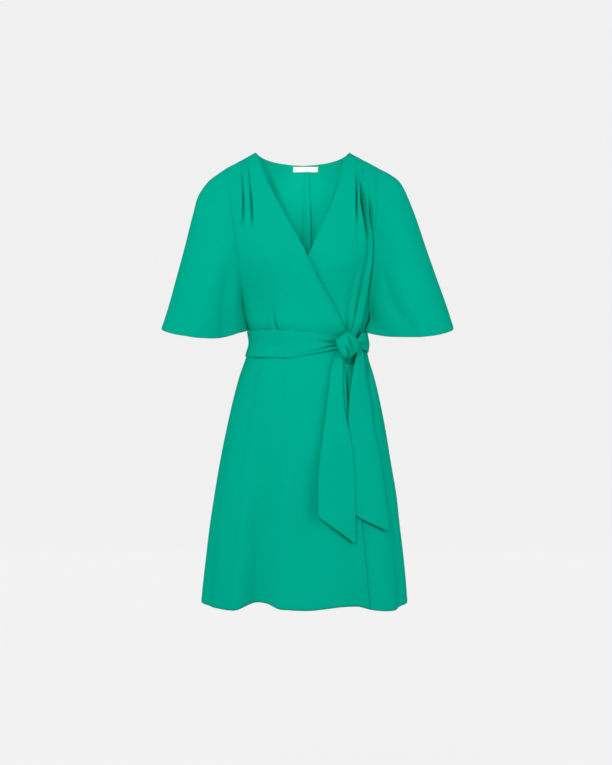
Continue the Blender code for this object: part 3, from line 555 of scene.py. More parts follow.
def bodiceRelief(x, z):   # bust fullness less the folds of the two fronts
    bust = wornForm["bust"]
    full = 0
    for side in (-1, 1):
        full = full + bust["full"] * np.exp(-((x - side * bust["apart"]) / bust["wide"]) ** 2
                                            - ((z - bust["height"]) / bust["tall"]) ** 2)
    full = full * ease((z - waist) / bodice["fullAbove"]) + overSash(x, z)
    return full + foldRelief(x, z, bodice["folds"]) + softWaves(x, z, "front")


def overSash(x, z):
    blouse = bodice["blouse"]
    return (blouse["full"] * bump((z - waist - blouse["above"]) / blouse["tall"])
            * ease((1 - np.abs(across(x, z))) * blouse["fade"]))


def backRelief(x, z, side):
    return foldRelief(x, z, bodice["backFolds"]) + overSash(x, z) + softWaves(x, z, "back", side)


def makeFrontBodice(name, side, edge):
    share = downShares(bodice["down"])
    rows = [((shoulderLine(x) - z) / (shoulderLine(x) - waist), x) for x, z in edge]
    sideEdge, freeEdge = sideX(share, side)[:, None], smoothTable(rows)(share)[:, None]
    even = np.linspace(0.0, 1.0, bodice["across"] + 1)[None, :]
    curlWide, curlDeep = (column(bodice["curl"], number)(heightAt(freeEdge, share[:, None]))
                          for number in (1, 2))
    freeEdge = freeEdge - side * curlWide
    x = sideEdge + (freeEdge - sideEdge) * (1 - (1 - even) ** bodice["crowding"])
    z = heightAt(x, share[:, None])
    lift = bodiceRelief(x, z) - curlDeep * (1 - np.clip(np.abs(x - freeEdge) / (curlWide + 0.01), 0, 1))
    lip, layer = bodice["lip"], bodice["layer"]
    if side < 0:
        underAt = smoothTable([(z0, x0) for x0, z0 in bodice["underEdge"]])
        lift = lift + layer["lift"] * ease((x - underAt(z) + layer["before"]) / layer["wide"])
        start, fade = lip["from"]
        lift = lift + lip["high"] * ease(1 - (freeEdge - x) / lip["wide"]) * ease((start - z) / fade)
    else:
        beside = x - smoothTable([(z0, x0) for x0, z0 in bodice["overEdge"]])(z) - lip["across"]
        deeper = sum(ease((start - z) / fade) for start, fade in lip["grooveFrom"])
        lift = lift - lip["groove"] * bump(beside / lip["across"]) * deeper
    spots, out = raised(x, formDepth(x, z, -1), z, lift + wornForm["cloth"])
    spots = finishEdges(spots, out, {"start": "seam", "top": "seam", "end": "band"})
    piece = makeCloth(name, spots, out, crepes["bodice"])
    return piece, spots, out


def makeBackBodice(name, side):
    neck = smoothTable(bodice["backNeck"])

    def top(x):
        away = np.abs(x - wornForm["neckMiddle"])
        return np.where(away < wornForm["neckHalf"], neck(away), shoulderLine(x))
    share = downShares(bodice["backDown"])
    sideEdge = sideX(share, side)[:, None]
    middle = smoothTable(bodice["backSeam"])(heightAt(np.zeros_like(share), share))[:, None]
    neckX = wornForm["neckMiddle"] + side * wornForm["neckHalf"]
    neckAt = (neckX - sideEdge[0]) / (middle[0] - sideEdge[0])
    count, turnAt, crowding = bodice["backAcross"], bodice["neckColumn"], bodice["neckCrowding"]
    outer = np.sin(np.linspace(0, 1, turnAt + 1) * math.pi / 2) * neckAt
    toMiddle = np.linspace(0, 1, count - turnAt + 1)
    inner = neckAt + (1 - neckAt) * ((1 - crowding) * toMiddle
                                     + crowding * (1 - np.cos(toMiddle * math.pi / 2)))
    place = np.concatenate([outer, inner[1:]])[None, :]
    x = sideEdge + (middle - sideEdge) * place
    z = heightAt(x, share[:, None], top)
    lift = backRelief(x, z, side)
    spots, out = raised(x, formDepth(x, z, 1), z, lift + wornForm["cloth"])
    sewn = (np.arange(count + 1) <= turnAt)[None, :] * 1.0
    spots = finishEdges(spots, out, {"start": "seam", "end": "seam",
                                     "top": [("seam", sewn), ("band", 1 - sewn)]})
    return makeCloth(name, spots, out, crepes["bodice"]), spots, out


fronts = {}
for name, side, edge in (("front_bodice_over", -1, bodice["overEdge"]),
                         ("front_bodice_under", 1, bodice["underEdge"])):
    fronts[side] = makeFrontBodice(name + "_cloth", side, edge)
    dress(name)
backs = {}
for name, side in (("back_bodice_left", -1), ("back_bodice_right", 1)):
    backs[side] = makeBackBodice(name + "_cloth", side)
    dress(name)


def makeAllowance(name):   # both layers of the centre back seam lie pressed to one side inside
    sizes = bodice["allowance"]
    z = np.linspace(sizes["wide"][0][0], sizes["wide"][-1][0], sizes["down"] + 1)[:, None]
    share = np.linspace(0.0, 1.0, sizes["across"] + 1)[None, :]
    aside = share * smoothTable(sizes["wide"])(z)
    x = smoothTable(bodice["backSeam"])(z) + aside
    z = np.broadcast_to(z, x.shape)
    clear = sizes["clear"] + sizes["spring"] * ease(share)
    spots, out = raised(x, formDepth(x, z, 1), z, backRelief(x, z, 1) - clear)
    return makeCloth(name, spots, out, crepes["bodice"], wall=sizes["wall"])


allowance = makeAllowance("back_seam_allowance")
declareSheet(allowance, bodice["allowance"]["cut"], "laid", rests_on=["back_bodice_right_cloth"])
print("bodice made")


sleeves = {
    "around": 150, "down": 96, "depth": 82, "leanAngle": 24, "leanWide": 15,
    "innerSquareness": 3,     # of the hem ring towards the body
    "innerTurn": (1.3, 90), "flatTurn": (76, 42),        # where that and the flat part set in
    "armholePoints": 61, "armholeCrowding": 1.35, "crowding": 1.25, "tuck": 0.3,
    "bowPower": 1.3, "doubledPower": 0.7, "waveTurn": 1.7, "waveDown": 330, "waveFade": (4, 25),
    "left": {
        "outer": ((-161, -34), (-182, -48.2), (-197.6, -60.3), (-207.6, -72), (-219.3, -90.5),
                  (-230.3, -128), (-247.5, -195), (-266, -262), (-285.3, -330),
                  (-299.5, -368)),
        "hemMiddle": -210, "hemHalf": 87.4, "lean": 9, "flat": 0.36,
        "hemHeights": ((0, -367), (35, -374.8), (70, -382), (82, -384.6), (96, -386.8),
                       (105, -387.3), (111, -387.2), (118, -384.8), (126, -381.4),
                       (135, -377.4), (147, -373.9), (180, -370.5)),   # by angle from the hem's tip
        # angle, depth and length of the dip beside the armhole
        "valley": ((0, 0, 10), (100, 0, 12), (150, 0.5, 14), (185, 0, 10), (360, 0, 10)),
        "folds": (
            # share of the way down, angle, deep, width before, width after
            ((0.14, 102, 0, 12), (0.35, 102, 4, 9, 10), (0.6, 105, 6.5, 9, 10),
             (0.8, 109, 7.5, 9, 12), (1, 113, 7.5, 10, 13)),
            ((0.3, 58, 0, 16), (0.7, 57, 1.6, 16), (1, 55, 2.6, 14)),
            ((0.2, 236, 0, 14), (0.6, 238, 4, 14, 12), (1, 240, 8, 16, 12)),
            ((0.25, 300, 0, 14), (0.7, 302, 2.6, 14), (1, 304, 4.6, 13))),
    },
    "right": {
        "outer": ((152.5, -33), (181.5, -49), (196.5, -60.5), (204.5, -72), (213.5, -90.5),
                  (228.8, -128), (252, -195), (276, -262), (300.3, -330), (312.5, -366)),
        "hemMiddle": 225, "hemHalf": 87, "lean": 11, "flat": 0.26,
        "hemHeights": ((0, -367), (35, -374.8), (70, -382), (95, -384.3), (107, -383.8),
                       (113, -383.8), (120, -383.1), (139, -380.1), (152, -376.6), (180, -373.7)),
        "valley": ((0, 0, 10), (50, 0, 12), (80, 2.5, 20), (110, 3.5, 24), (140, 2, 24), (165, 0, 14),
                   (185, 0, 10), (360, 0, 10)),
        "folds": (
            ((0.12, 102, 0, 12), (0.35, 100, 4.5, 9), (0.6, 100, 6, 9), (0.8, 94, 5.5, 10),
             (1, 88, 4.5, 11)),
            ((0.10, 150, 0, 10), (0.3, 152, 6, 14, 10), (0.5, 150, 9, 15, 10),
             (0.68, 147, 7, 14, 11), (0.82, 143, 3, 13, 12), (0.95, 140, 0, 12)),
            ((0.45, 170, 0, 10), (0.72, 167, -3, 10), (0.9, 166, -4.5, 10), (1, 165, -2, 9)),
            ((0.2, 62, 0, 15), (0.7, 60, 1.4, 15), (1, 58, 2.2, 14)),
            ((0.2, 240, 0, 13), (0.6, 242, 4.4, 12, 14), (1, 244, 8, 12, 16)),
            ((0.3, 306, 0, 14), (0.7, 305, 2.4, 14), (1, 303, 4.2, 14))),
    },
    "cut": (0.560, 0.335, 0.59),
}


def armholeRing(side):   # points and outward directions round the armhole, front half first
    share = bodice["underarm"] * np.linspace(
        0.0, 1.0, sleeves["armholePoints"]) ** sleeves["armholeCrowding"]
    x = sideX(share, side)
    z = heightAt(x, share)
    halves = []
    for face, lift in ((-1, bodiceRelief(x, z)), (1, foldRelief(x, z, bodice["backFolds"]))):
        halves.append(raised(x, formDepth(x, z, face), z, lift - sleeves["tuck"]))
    ring, out = (np.concatenate([front, back[-2:0:-1]]) for front, back in zip(*halves))
    last = len(share) - 1
    for index in (0, last):
        ring[index, 1] = out[index, 1] = 0.0
    return ring, out / np.linalg.norm(out, axis=1, keepdims=True), last


def makeSleeve(name, side):
    sizes = sleeves["left" if side < 0 else "right"]
    ring, out, last = armholeRing(side)
    along = np.roll(ring, -1, axis=0) - np.roll(ring, 1, axis=0)
    away = -side * np.cross(along, out)
    away /= np.linalg.norm(away, axis=1, keepdims=True)
    steps = np.linalg.norm(np.roll(ring, -1, axis=0) - ring, axis=1)
    far = np.concatenate([[0.0], np.cumsum(steps)])
    turnedBy = np.where(far <= far[last], 180 * far / far[last],
                        180 + 180 * (far - far[last]) / (far[-1] - far[last]))

    count = sleeves["around"]
    angle = np.linspace(180.0, 540.0, count + 1)        # the sleeve's own seam runs under the arm
    turn, round360 = np.radians(angle), angle % 360
    fromUnder = np.abs(round360 - 180)

    def resample(values):
        whole = np.concatenate([values, values[:1]])
        return np.stack([np.interp(round360, turnedBy, whole[:, axis]) for axis in range(3)], axis=-1)
    ring, out, away = resample(ring), resample(out), resample(away)
    out /= np.linalg.norm(out, axis=1, keepdims=True)
    away /= np.linalg.norm(away, axis=1, keepdims=True)

    (inner, wide), (flatFrom, flatWide) = sleeves["innerTurn"], sleeves["flatTurn"]
    square = wornForm["squareness"]
    power = 2 / (square + (sleeves["innerSquareness"] - square) * ease(inner - fromUnder / wide))
    lean = side * sizes["lean"] * bump((fromUnder - sleeves["leanAngle"]) / sleeves["leanWide"])
    hem = gridOf(sizes["hemMiddle"] + side * sizes["hemHalf"] * signedPower(np.cos(turn), power) - lean,
                 -sleeves["depth"] * signedPower(np.sin(turn), power) * (
                     1 - sizes["flat"] * ease((round360 - flatFrom) / flatWide) * (round360 < 180)),
                 smoothTable(sizes["hemHeights"])(np.where(round360 > 180, 360 - round360, round360)))
    share = np.linspace(0.0, 1.0, sleeves["down"] + 1) ** sleeves["crowding"]
    weight = ((1 + np.cos(turn)) / 2) ** sleeves["bowPower"]
    tip = count // 2                                    # the column of the outer line

    def loft(start):
        line = np.array([(x, 0.0, z) for x, z in sizes["outer"]])
        line[0], line[-1] = start[tip], hem[tip]
        length = np.concatenate([[0.0], np.cumsum(np.linalg.norm(np.diff(line, axis=0), axis=1))])
        outer = np.stack([smoothTable(list(zip(length / length[-1], line[:, axis])))(share)
                          for axis in range(3)], axis=-1)
        bow = outer - (start[tip] + (hem[tip] - start[tip]) * share[:, None])
        rings = (start[None] + (hem - start)[None] * share[:, None, None]
                 + bow[:, None] * weight[None, :, None])
        round_ = np.concatenate([rings[:, -2:-1], rings, rings[:, 1:2]], axis=1)
        around = round_[:, 2:] - round_[:, :-2]
        normal = side * np.cross(around, np.gradient(rings, share, axis=0))
        return rings, normal / np.linalg.norm(normal, axis=2, keepdims=True)

    straight = (loft(ring)[1][0] * out).sum(axis=1)
    turned = np.sqrt(np.clip(1 - straight ** 2, 0.0, 1.0))
    doubled = np.clip(-straight, 0.0, 1.0) ** sleeves["doubledPower"]
    cloth = wornForm["cloth"]
    rings, normal = loft(ring + cloth * (away * turned[:, None] + 2 * out * doubled[:, None]))
    valleyDeep, valleyReach = (column(sizes["valley"], number)(round360)[None, :] for number in (1, 2))
    length = np.linalg.norm(hem - ring, axis=1)[None, :]
    topFade, seamFade = sleeves["waveFade"]
    relief = (cloth + foldRelief(round360[None, :], share[:, None], sizes["folds"])
              - valleyDeep * bump(share[:, None] * length / valleyReach - 0.5)
              + softWaves(round360[None, :] * sleeves["waveTurn"], share[:, None] * sleeves["waveDown"],
                          "sleeve", side)
              * ease(share[:, None] * topFade) * ease(fromUnder[None, :] / seamFade))
    spots = rings + normal * relief[..., None]
    spots = finishEdges(spots, normal, {"top": "seam", "bottom": "hem", "start": "seam", "end": "seam"})
    spots[:, -1] = spots[:, 0]
    return makeCloth(name, spots, normal, crepes["sleeve"], closed=True), spots, normal


sleevePieces = {}
for name, side in (("sleeve_left", -1), ("sleeve_right", 1)):
    sleevePieces[side] = makeSleeve(name + "_cloth", side)
    dress(name)
print("sleeves made")


skirt = {
    "down": 100, "backAcross": 190, "overAcross": 180, "underAcross": 130,
    "fluteTop": -520, "hemMiddle": -938, "layer": 3.4,
    "flutes": (
        # angle, wide, deep at the hem
        (-158, 11, 21), (-118, 11, 15), (-70, 9, 9), (-26, 9.5, 25),
        (31, 10, 19), (70, 8, 9), (112, 11, 16), (152, 12, 20)),
    "hem": ((-180, -938), (-158, -931), (-138, -940), (-118, -934), (-90, -941.5),
            (-70, -943.6), (-54, -943.6), (-42.6, -944.5), (-37.9, -943.2), (-33.6, -935.3),
            (-29.5, -928), (-25.7, -926), (-22.1, -926), (-18.6, -927.2), (-15.3, -931.2),
            (-12.1, -936.4), (-6, -938.7), (1.3, -940.4), (9.6, -936.8), (16, -934),
            (24, -933.9), (31, -936), (38.7, -943.2), (48, -947.7), (60, -949),
            (73, -945), (90, -941), (112, -934), (132, -940), (152, -931),
            (180, -938)),
    "wrapEdge": ((-930, 137.2), (-859.5, 130), (-756, 119), (-594, 97), (-401, 90)),
    "underlap": -38, "underlapPlace": 0.4, "underlapFade": 8, "seamTurn": 0.02,
    "fluteMost": 1.2, "flutePower": 1.4, "waveTurn": 2.6, "waveFade": 60,
    "folds": (
        # each a table of height, angle, deep, width before, width after
        ((-430, -22, 0, 2.5, 3), (-480, -18.5, 1, 2.5, 3),
         (-570, -17.5, 1.4, 3, 4), (-680, -17, 0, 4, 6)),
        ((-560, -30, 0, 6), (-680, -30, 3.5, 6), (-800, -29, 5, 6), (-940, -28, 4, 6)),
        ((-600, 3, 0, 5), (-720, 3, 5, 4.5, 5), (-840, 2.5, 7, 4.5, 6), (-940, 2, 6, 5, 7)),
        ((-560, -12, 0, 6), (-700, -12, -2.5, 5, 6), (-840, -11, -3, 5, 6), (-940, -10, -2, 5, 6)),
        ((-412, 36, 5, 3), (-450, 35.5, 9, 3), (-500, 34, 9, 2.6), (-545, 32.5, 5, 2.4),
         (-585, 32, 0, 2)),
        ((-600, 7, 0, 4, 3), (-680, 7.5, 3, 4, 3), (-760, 7.5, 4, 4, 3), (-820, 6, 0, 4)),
        ((-428, 44, 2.5, 4), (-470, 43, 4.5, 4), (-540, 42, 3.5, 4), (-640, 41, 0, 5)),
        ((-428, 50, 2, 3), (-470, 50.5, 3, 3), (-560, 50, 1.5, 4), (-640, 50, 0, 4)),
        ((-428, 74, 4, 5), (-445, 72, 7, 5), (-470, 69, 7, 5), (-500, 66, 5, 5, 6),
         (-540, 64, 2, 6, 7), (-600, 62, 0, 8)),
        ((-425, -52, 1, 4), (-500, -50, 1, 5), (-620, -46, 0, 6)),
        ((-425, -132, 1.4, 4), (-520, -134, 1.4, 5), (-640, -138, 0, 6)),
        ((-425, 172, 1.6, 4), (-510, 173, 1.6, 5), (-650, 172, 0, 6)),
        ((-425, 132, 1.4, 4), (-520, 133, 1.6, 5), (-640, 134, 0, 6)),
    ),
    "cuts": {"skirt_back": (0.62, 0.55, 0.75), "skirt_front_over": (0.50, 0.55, 0.72),
             "skirt_front_under": (0.50, 0.55, 0.74)},
}
hemHeight = smoothTable(skirt["hem"])
wrapAt = smoothTable(skirt["wrapEdge"])


def fluteRelief(angle, z):
    opening = np.clip((skirt["fluteTop"] - z) / (skirt["fluteTop"] - skirt["hemMiddle"]), 0.0,
                      skirt["fluteMost"]) ** skirt["flutePower"]
    hollow = sum(deep * bump(turnBetween(angle, middle) / wide) for middle, wide, deep in skirt["flutes"])
    return -opening * hollow


def skirtRelief(angle, z):
    waves = softWaves(angle * skirt["waveTurn"], z, "skirt") * ease((waist - z) / skirt["waveFade"])
    return foldRelief(turnBetween(angle, 0.0), z, skirt["folds"]) + fluteRelief(angle, z) + waves


def frontTurn(place, z):   # 0 is the left side seam, 1 the wrapped edge, 2 the right side seam
    edge = angleOf(wrapAt(z), z)
    tiny = skirt["seamTurn"]
    return np.where(place <= 1, -90 + tiny + (edge + 90) * place, edge + (90 - tiny - edge) * (place - 1))


def makeSkirtPanel(name, places, turnAt, covers, edges):
    down = np.linspace(0.0, 1.0, skirt["down"] + 1)[:, None]
    places = places[None, :]
    z = np.full((len(down), places.shape[1]), waist) + down * (skirt["hemMiddle"] - waist)
    for _ in range(4):
        angle = turnAt(places, z)
        z = waist + down * (hemHeight(turnBetween(angle, 0.0)) - waist)
    x, y, z = ringPoint(angle, z)
    lift = skirtRelief(angle, z)
    if covers:
        covered = ease((angle - skirt["underlap"]) / skirt["underlapFade"] + 1)
        lift = lift + (skirt["layer"] + down) * covered
    spots, out = raised(x, y, z, lift + wornForm["cloth"])
    spots = finishEdges(spots, out, edges)
    return makeCloth(name, spots, out, crepes["skirt"]), spots, out


skirtPieces = {}
behind = np.linspace(90.0 + skirt["seamTurn"], 270.0 - skirt["seamTurn"], skirt["backAcross"] + 1)
over = np.linspace(0.0, 1.0, skirt["overAcross"] + 1)
under = np.linspace(skirt["underlapPlace"], 2.0, skirt["underAcross"] + 1)
for name, places, turnAt, covers, edges in (
        ("skirt_back", behind, lambda place, z: place + 0 * z, False,
         {"start": "seam", "end": "seam", "bottom": "hem"}),
        ("skirt_front_over", over, frontTurn, True,
         {"start": "seam", "end": "hem", "bottom": "hem"}),
        ("skirt_front_under", under, frontTurn, False,
         {"start": "hem", "end": "seam", "bottom": "hem"})):
    skirtPieces[name] = makeSkirtPanel(name + "_cloth", places, turnAt, covers, edges)
    dress(name)
print("skirt made")


sash = {
    "cloth": 2, "wall": 1.2, "camber": 2.2, "waveTurn": 1.9, "waveDown": 55,
    "acrossCount": 36, "leftCount": 220, "rightCount": 130,
    "left": (
        # angle, upper edge, lower edge, lift
        (-179.85, -373, -428, 3.2), (-120, -373, -428, 3), (-90, -372.5, -427.6, 2.6),
        (-64, -369.5, -427.5, 2.8), (-52, -368.2, -427.6, 4.4), (-42, -367.2, -427.7, 5.8),
        (-30, -366.3, -427.8, 5.9), (-12, -367.5, -427, 6),
        (-2, -369.6, -422, 6.4), (15, -375.5, -414, 6.9), (31, -384.5, -408, 7.4),
        (41, -390, -407, 7.8)),
    "right": (
        (44, -391, -404, 7.8), (50.5, -387, -404.5, 7.8), (55, -379.5, -405.6, 7.4),
        (59, -375, -409, 7), (66, -374.5, -413.5, 6), (74, -376, -418, 4.4),
        (84, -378.5, -417, 2.4), (95, -376.5, -419, 2.2), (118, -373, -426, 3.2),
        (179.85, -373, -428, 3.2)),
    "leftFolds": (
        # angle, share of the way down the sash, deep, width above, width below
        ((6, 0.40, 0, 0.05, 0.03), (12, 0.44, 3.5, 0.09, 0.03), (20, 0.50, 7, 0.12, 0.035),
         (25, 0.53, 9.5, 0.13, 0.035), (33, 0.55, 9.5, 0.14, 0.04), (41, 0.56, 9, 0.16, 0.05)),
        ((12, 0.14, 0, 0.04), (20, 0.18, 2.6, 0.06, 0.035), (26, 0.317, 5, 0.08, 0.04),
         (41, 0.34, 4.6, 0.10, 0.06)),
        ((-14, 1, 0, 0.05, 0.04), (-3, 0.95, 2, 0.06, 0.04), (11.4, 0.84, 4.5, 0.06, 0.03),
         (20, 0.73, 6, 0.05, 0.03), (26.7, 0.69, 6, 0.04, 0.03), (33, 0.72, 6, 0.04),
         (41, 0.77, 7, 0.06, 0.045)),
        ((-150, 0.4, 0, 0.1), (-120, 0.45, 0.8, 0.12, 0.1), (-80, 0.42, 0, 0.1)),
    ),
    "rightFolds": (
        ((44, 0.66, 4, 0.14, 0.10), (55, 0.72, 5, 0.12, 0.07), (66, 0.66, 3.4, 0.09, 0.05),
         (80, 0.60, 0, 0.06, 0.05)),
        ((44, 0.90, 2, 0.06, 0.05), (58, 0.93, 3, 0.07, 0.05), (72, 0.86, 0, 0.05)),
        ((44, 0.2, 1.4, 0.1, 0.08), (60, 0.30, 1.6, 0.08, 0.06), (76, 0.34, 0, 0.06)),
        ((66, 0.55, 0, 0.36), (80, 0.6, -1.6, 0.36), (92, 0.6, -2, 0.36),
         (105, 0.55, -1, 0.36), (122, 0.5, 0, 0.36)),
        ((96, 0.6, 0, 0.1), (130, 0.52, 0.9, 0.12, 0.1), (165, 0.56, 0, 0.1)),
    ),
    "cuts": {"sash_left": (0.420, 0.055, 1), "sash_right": (0.225, 0.055, 1),
             "sash_end_front": (0.080, 0.385, 0.69), "sash_end_rear": (0.075, 0.370, 0.82)},
}


def makeBelt(name, rows, folds, count):
    upper, lower, lift = (column(rows, number) for number in (1, 2, 3))
    angle = np.linspace(rows[0][0], rows[-1][0], count + 1)[None, :]
    share = np.linspace(0.0, 1.0, sash["acrossCount"] + 1)[:, None]
    z = upper(angle) + share * (lower(angle) - upper(angle))
    x, y, z = ringPoint(angle, z)
    bow = (lift(angle) + sash["camber"] * (1 - (2 * share - 1) ** 2) + sash["cloth"]
           + foldRelief(share, angle, folds)
           + softWaves(angle * sash["waveTurn"], share * sash["waveDown"], "sash"))
    spots, out = raised(x, y, z, bow)
    spots = finishEdges(spots, out, {"top": "folded", "bottom": "folded"})
    return makeCloth(name, spots, out, crepes["sash"], wall=sash["wall"])


for name, rows, folds, count in (("sash_left", sash["left"], sash["leftFolds"], sash["leftCount"]),
                                 ("sash_right", sash["right"], sash["rightFolds"], sash["rightCount"])):
    belt = makeBelt(name + "_cloth", rows, folds, count)
    dress(name)


ties = {
    "across": 72, "down": 150, "camber": 1.4, "camberFrom": 6, "corner": 3.4, "cornerWide": 0.05,
    "sash_end_front": {
        "rows": (   # height, left edge x, right edge x, lift
            (-413, 68, 76.5, 9), (-430, 60, 76, 9.4), (-446, 55, 76, 9.8),
            (-481, 50, 76.5, 10.4), (-537, 43.5, 80, 11.6), (-575, 38.5, 88, 12.2),
            (-610, 34.5, 95, 12.2), (-652, 29.5, 99.8, 12.2), (-707, 28, 102.6, 12.2)),
        "foot": (-751, -808), "feetX": (30, 105),
        "folds": (   # height, share of the way across, deep, width before, width after
            ((-413, 0.40, 1.8, 0.16), (-440, 0.40, 1.4, 0.16), (-480, 0.42, 0.8, 0.16),
             (-540, 0.46, 0, 0.16)),
            ((-520, 0.62, 0, 0.2), (-640, 0.6, 1.4, 0.22), (-760, 0.6, 0, 0.2)))},
    "sash_end_rear": {
        "rows": ((-404, 105, 110.5, 8.6), (-413, 104, 113.5, 8.4), (-422, 102.3, 116.5, 8.2),
                 (-440, 99.4, 119, 7.8), (-462, 95.6, 121, 7.4), (-482, 92.8, 124, 7.4),
                 (-514, 89.4, 130.8, 7.4), (-548, 88, 135, 7.4), (-576, 88.5, 138.8, 7.4),
                 (-619, 91.5, 148.5, 7.4), (-690, 96, 158.5, 7.4)),
        "foot": (-745, -788), "feetX": (101, 171),
        "folds": (
            ((-404, 0.5, 2, 0.2), (-440, 0.56, 1.2, 0.18), (-500, 0.62, 0.6, 0.16),
             (-560, 0.66, 0, 0.16)),
            ((-540, 0.4, 0, 0.2), (-640, 0.42, 0.8, 0.2), (-740, 0.42, 0, 0.2)))},
}


def makeTie(name, sizes):
    rows = list(sizes["rows"]) + [(min(sizes["foot"]), *sizes["feetX"], sizes["rows"][-1][3])]
    leftEdge, rightEdge, lift = (column(rows, number) for number in (1, 2, 3))
    share = np.linspace(0.0, 1.0, ties["across"] + 1)[None, :]
    down = np.linspace(0.0, 1.0, ties["down"] + 1)[:, None]
    end = sizes["foot"][0] + share * (sizes["foot"][1] - sizes["foot"][0])
    wide = ties["cornerWide"]
    end = end + ties["corner"] * (bump(share / wide) + bump((1 - share) / wide))
    z = rows[0][0] + down * (end - rows[0][0])
    x = leftEdge(z) + share * (rightEdge(z) - leftEdge(z))
    camber = ties["camber"] * (1 - (2 * share - 1) ** 2) * ease(down * ties["camberFrom"])
    bow = (lift(z) + camber + sash["cloth"]
           + foldRelief(share, z, sizes["folds"]) + fluteRelief(angleOf(x, z), z))
    spots, out = raised(x, formDepth(x, z, -1), z, bow)
    spots = finishEdges(spots, out, {"start": "folded", "end": "folded", "bottom": "folded"})
    return makeCloth(name, spots, out, crepes["sash"], wall=sash["wall"])


for name in ("sash_end_front", "sash_end_rear"):
    tie = makeTie(name + "_cloth", ties[name])
    dress(name)
    declareSheet(tie, sash["cuts"][name], "hung", rests_on=["sash_knot_cloth"])


knot = {
    "middle": (90.5, -400.6), "back": 11, "high": 26, "segments": (160, 110), "sharpness": 1.35,
    "faces": 10,              # how far left of its middle the form gives its direction
    "dome": 0.72, "behind": 8, "creaseFade": 3,
    "outline": ((-176, 23.3), (-148, 22.3), (-128, 24.5), (-112, 27.6), (-87, 26.6),
                (-56, 23.6), (-27, 23.2), (2, 24.4), (30, 23.6), (53, 23.6), (78, 26.4),
                (96, 28.8), (111, 26.2), (127, 24.4), (142, 25.8), (156, 27.2),
                (170, 25.2), (184, 23.3)),   # angle, reach
    "folds": (
        # height from the middle, x, deep, width to the left, width to the right
        ((30, -5, 2, 1.6), (24, -3.6, 5, 2, 2.6), (16, 0.2, 7, 2, 3.4),
         (6, 4, 8.5, 2, 4), (-6, 7.6, 9.5, 2.2, 4.2), (-16, 9, 8, 2.2, 3.6),
         (-26, 9, 3.5, 2, 3)),
        ((3, -7.5, 0, 1.6), (-2, -5, 4, 1.8, 2.2), (-9, -1, 8, 2.6, 2),
         (-17, 1.6, 9, 3.4, 1.8), (-24, 0.6, 7, 3.4, 1.8), (-30, -1.5, 3, 3, 1.6)),
        ((16, -19, 0, 3), (8, -17, 1.6, 3, 4), (-6, -13, 1.6, 3, 4), (-18, -10, 0, 3)),
        ((22, 8, 0, 3), (10, 14, 1.2, 3), (-6, 17, 1, 3), (-16, 16, 0, 3)),
        ((28, -12, 2.5, 3, 2), (20, -10, 1.5, 3, 2.5), (8, -7, 0, 3)),
    ),
}


def makeKnot(name):
    reach = smoothTable(knot["outline"])
    middleX, middleZ = knot["middle"]
    at = np.array([middleX - knot["faces"]]), np.array([middleZ])
    out = formNormal(at[0], formDepth(*at, -1), at[1])[0]
    out[2] = 0.0
    out /= np.linalg.norm(out)
    mesh = bmesh.new()
    around, down = knot["segments"]
    bmesh.ops.create_uvsphere(mesh, u_segments=around, v_segments=down, radius=1.0)
    ball = np.array([vertex.co for vertex in mesh.verts])
    turn = np.degrees(np.arctan2(ball[:, 2], ball[:, 0]))
    turn = np.where(turn < knot["outline"][0][0], turn + 360, turn)
    aside, upward = ball[:, 0] * reach(turn), ball[:, 2] * reach(turn)
    front = -ball[:, 1]                                  # 1 at the knot's face
    domed = signedPower(np.clip(front, 0, 1), knot["dome"])
    high = np.where(front > 0, knot["back"] + knot["high"] * domed, knot["back"] + knot["behind"] * front)
    creases = foldRelief(aside, upward, knot["folds"], knot["sharpness"])
    high = high + creases * ease(front * knot["creaseFade"])
    x, z = middleX + aside, middleZ + upward
    y = formDepth(x - out[0] * high, z, -1) + out[1] * high
    for vertex, spot in zip(mesh.verts, gridOf(x, y, z)):
        vertex.co = spot * mm
    unwrapFlat(mesh)
    bmesh.ops.recalc_face_normals(mesh, faces=mesh.faces)
    return finishPiece(name, mesh, crepes["sash"])


knotPiece = makeKnot("sash_knot_cloth")
dress("sash_knot")
print("sash made")


label = {
    "left": -23.4, "right": 30.0, "top": -25.5, "bottom": -37.0, "clear": 1.0, "thick": 0.7,
    "across": 24, "down": 6, "cut": (0.0534, 0.0115),
    "white": (0.95, 0.95, 0.94, 1.0), "shade": (0.84, 0.84, 0.83, 1.0),
    "ribs": 1800.0, "rise": 0.00006,
}


def makeLabelWeave():   # a satin ribbon with fine cross ribs
    finish = Finish("label_satin", {"Roughness": 0.42, "Specular IOR Level": 0.4})
    cloth = finish.add("ShaderNodeUVMap", {"uv_map": "cloth"})
    apart = finish.add("ShaderNodeSeparateXYZ", None, {0: cloth})
    rib = finish.add("ShaderNodeMath", {"operation": "SINE"}, {0: apart * (2 * math.pi * label["ribs"])})
    grain = finish.add("ShaderNodeTexNoise", None, {"Vector": cloth, "Scale": 900.0, "Detail": 2.0})
    finish.drive("Base Color", finish.blend(grain * 0.7 + rib * 0.08, label["white"], label["shade"]))
    relief = {"Strength": 0.3, "Distance": label["rise"], "Height": rib * 0.5 + grain}
    finish.drive("Normal", finish.add("ShaderNodeBump", None, relief))
    return finish.material


def makeLabel(name):
    x = np.linspace(label["left"], label["right"], label["across"] + 1)[None, :]
    z = np.linspace(label["top"], label["bottom"], label["down"] + 1)[:, None]
    x, z = np.broadcast_arrays(x, z)
    spots, out = raised(x, formDepth(x, z, 1), z, -label["clear"])
    return makeCloth(name, spots, out, makeLabelWeave(), wall=label["thick"])


labelPiece = makeLabel("neck_label_cloth")
dress("neck_label")
print("label made")


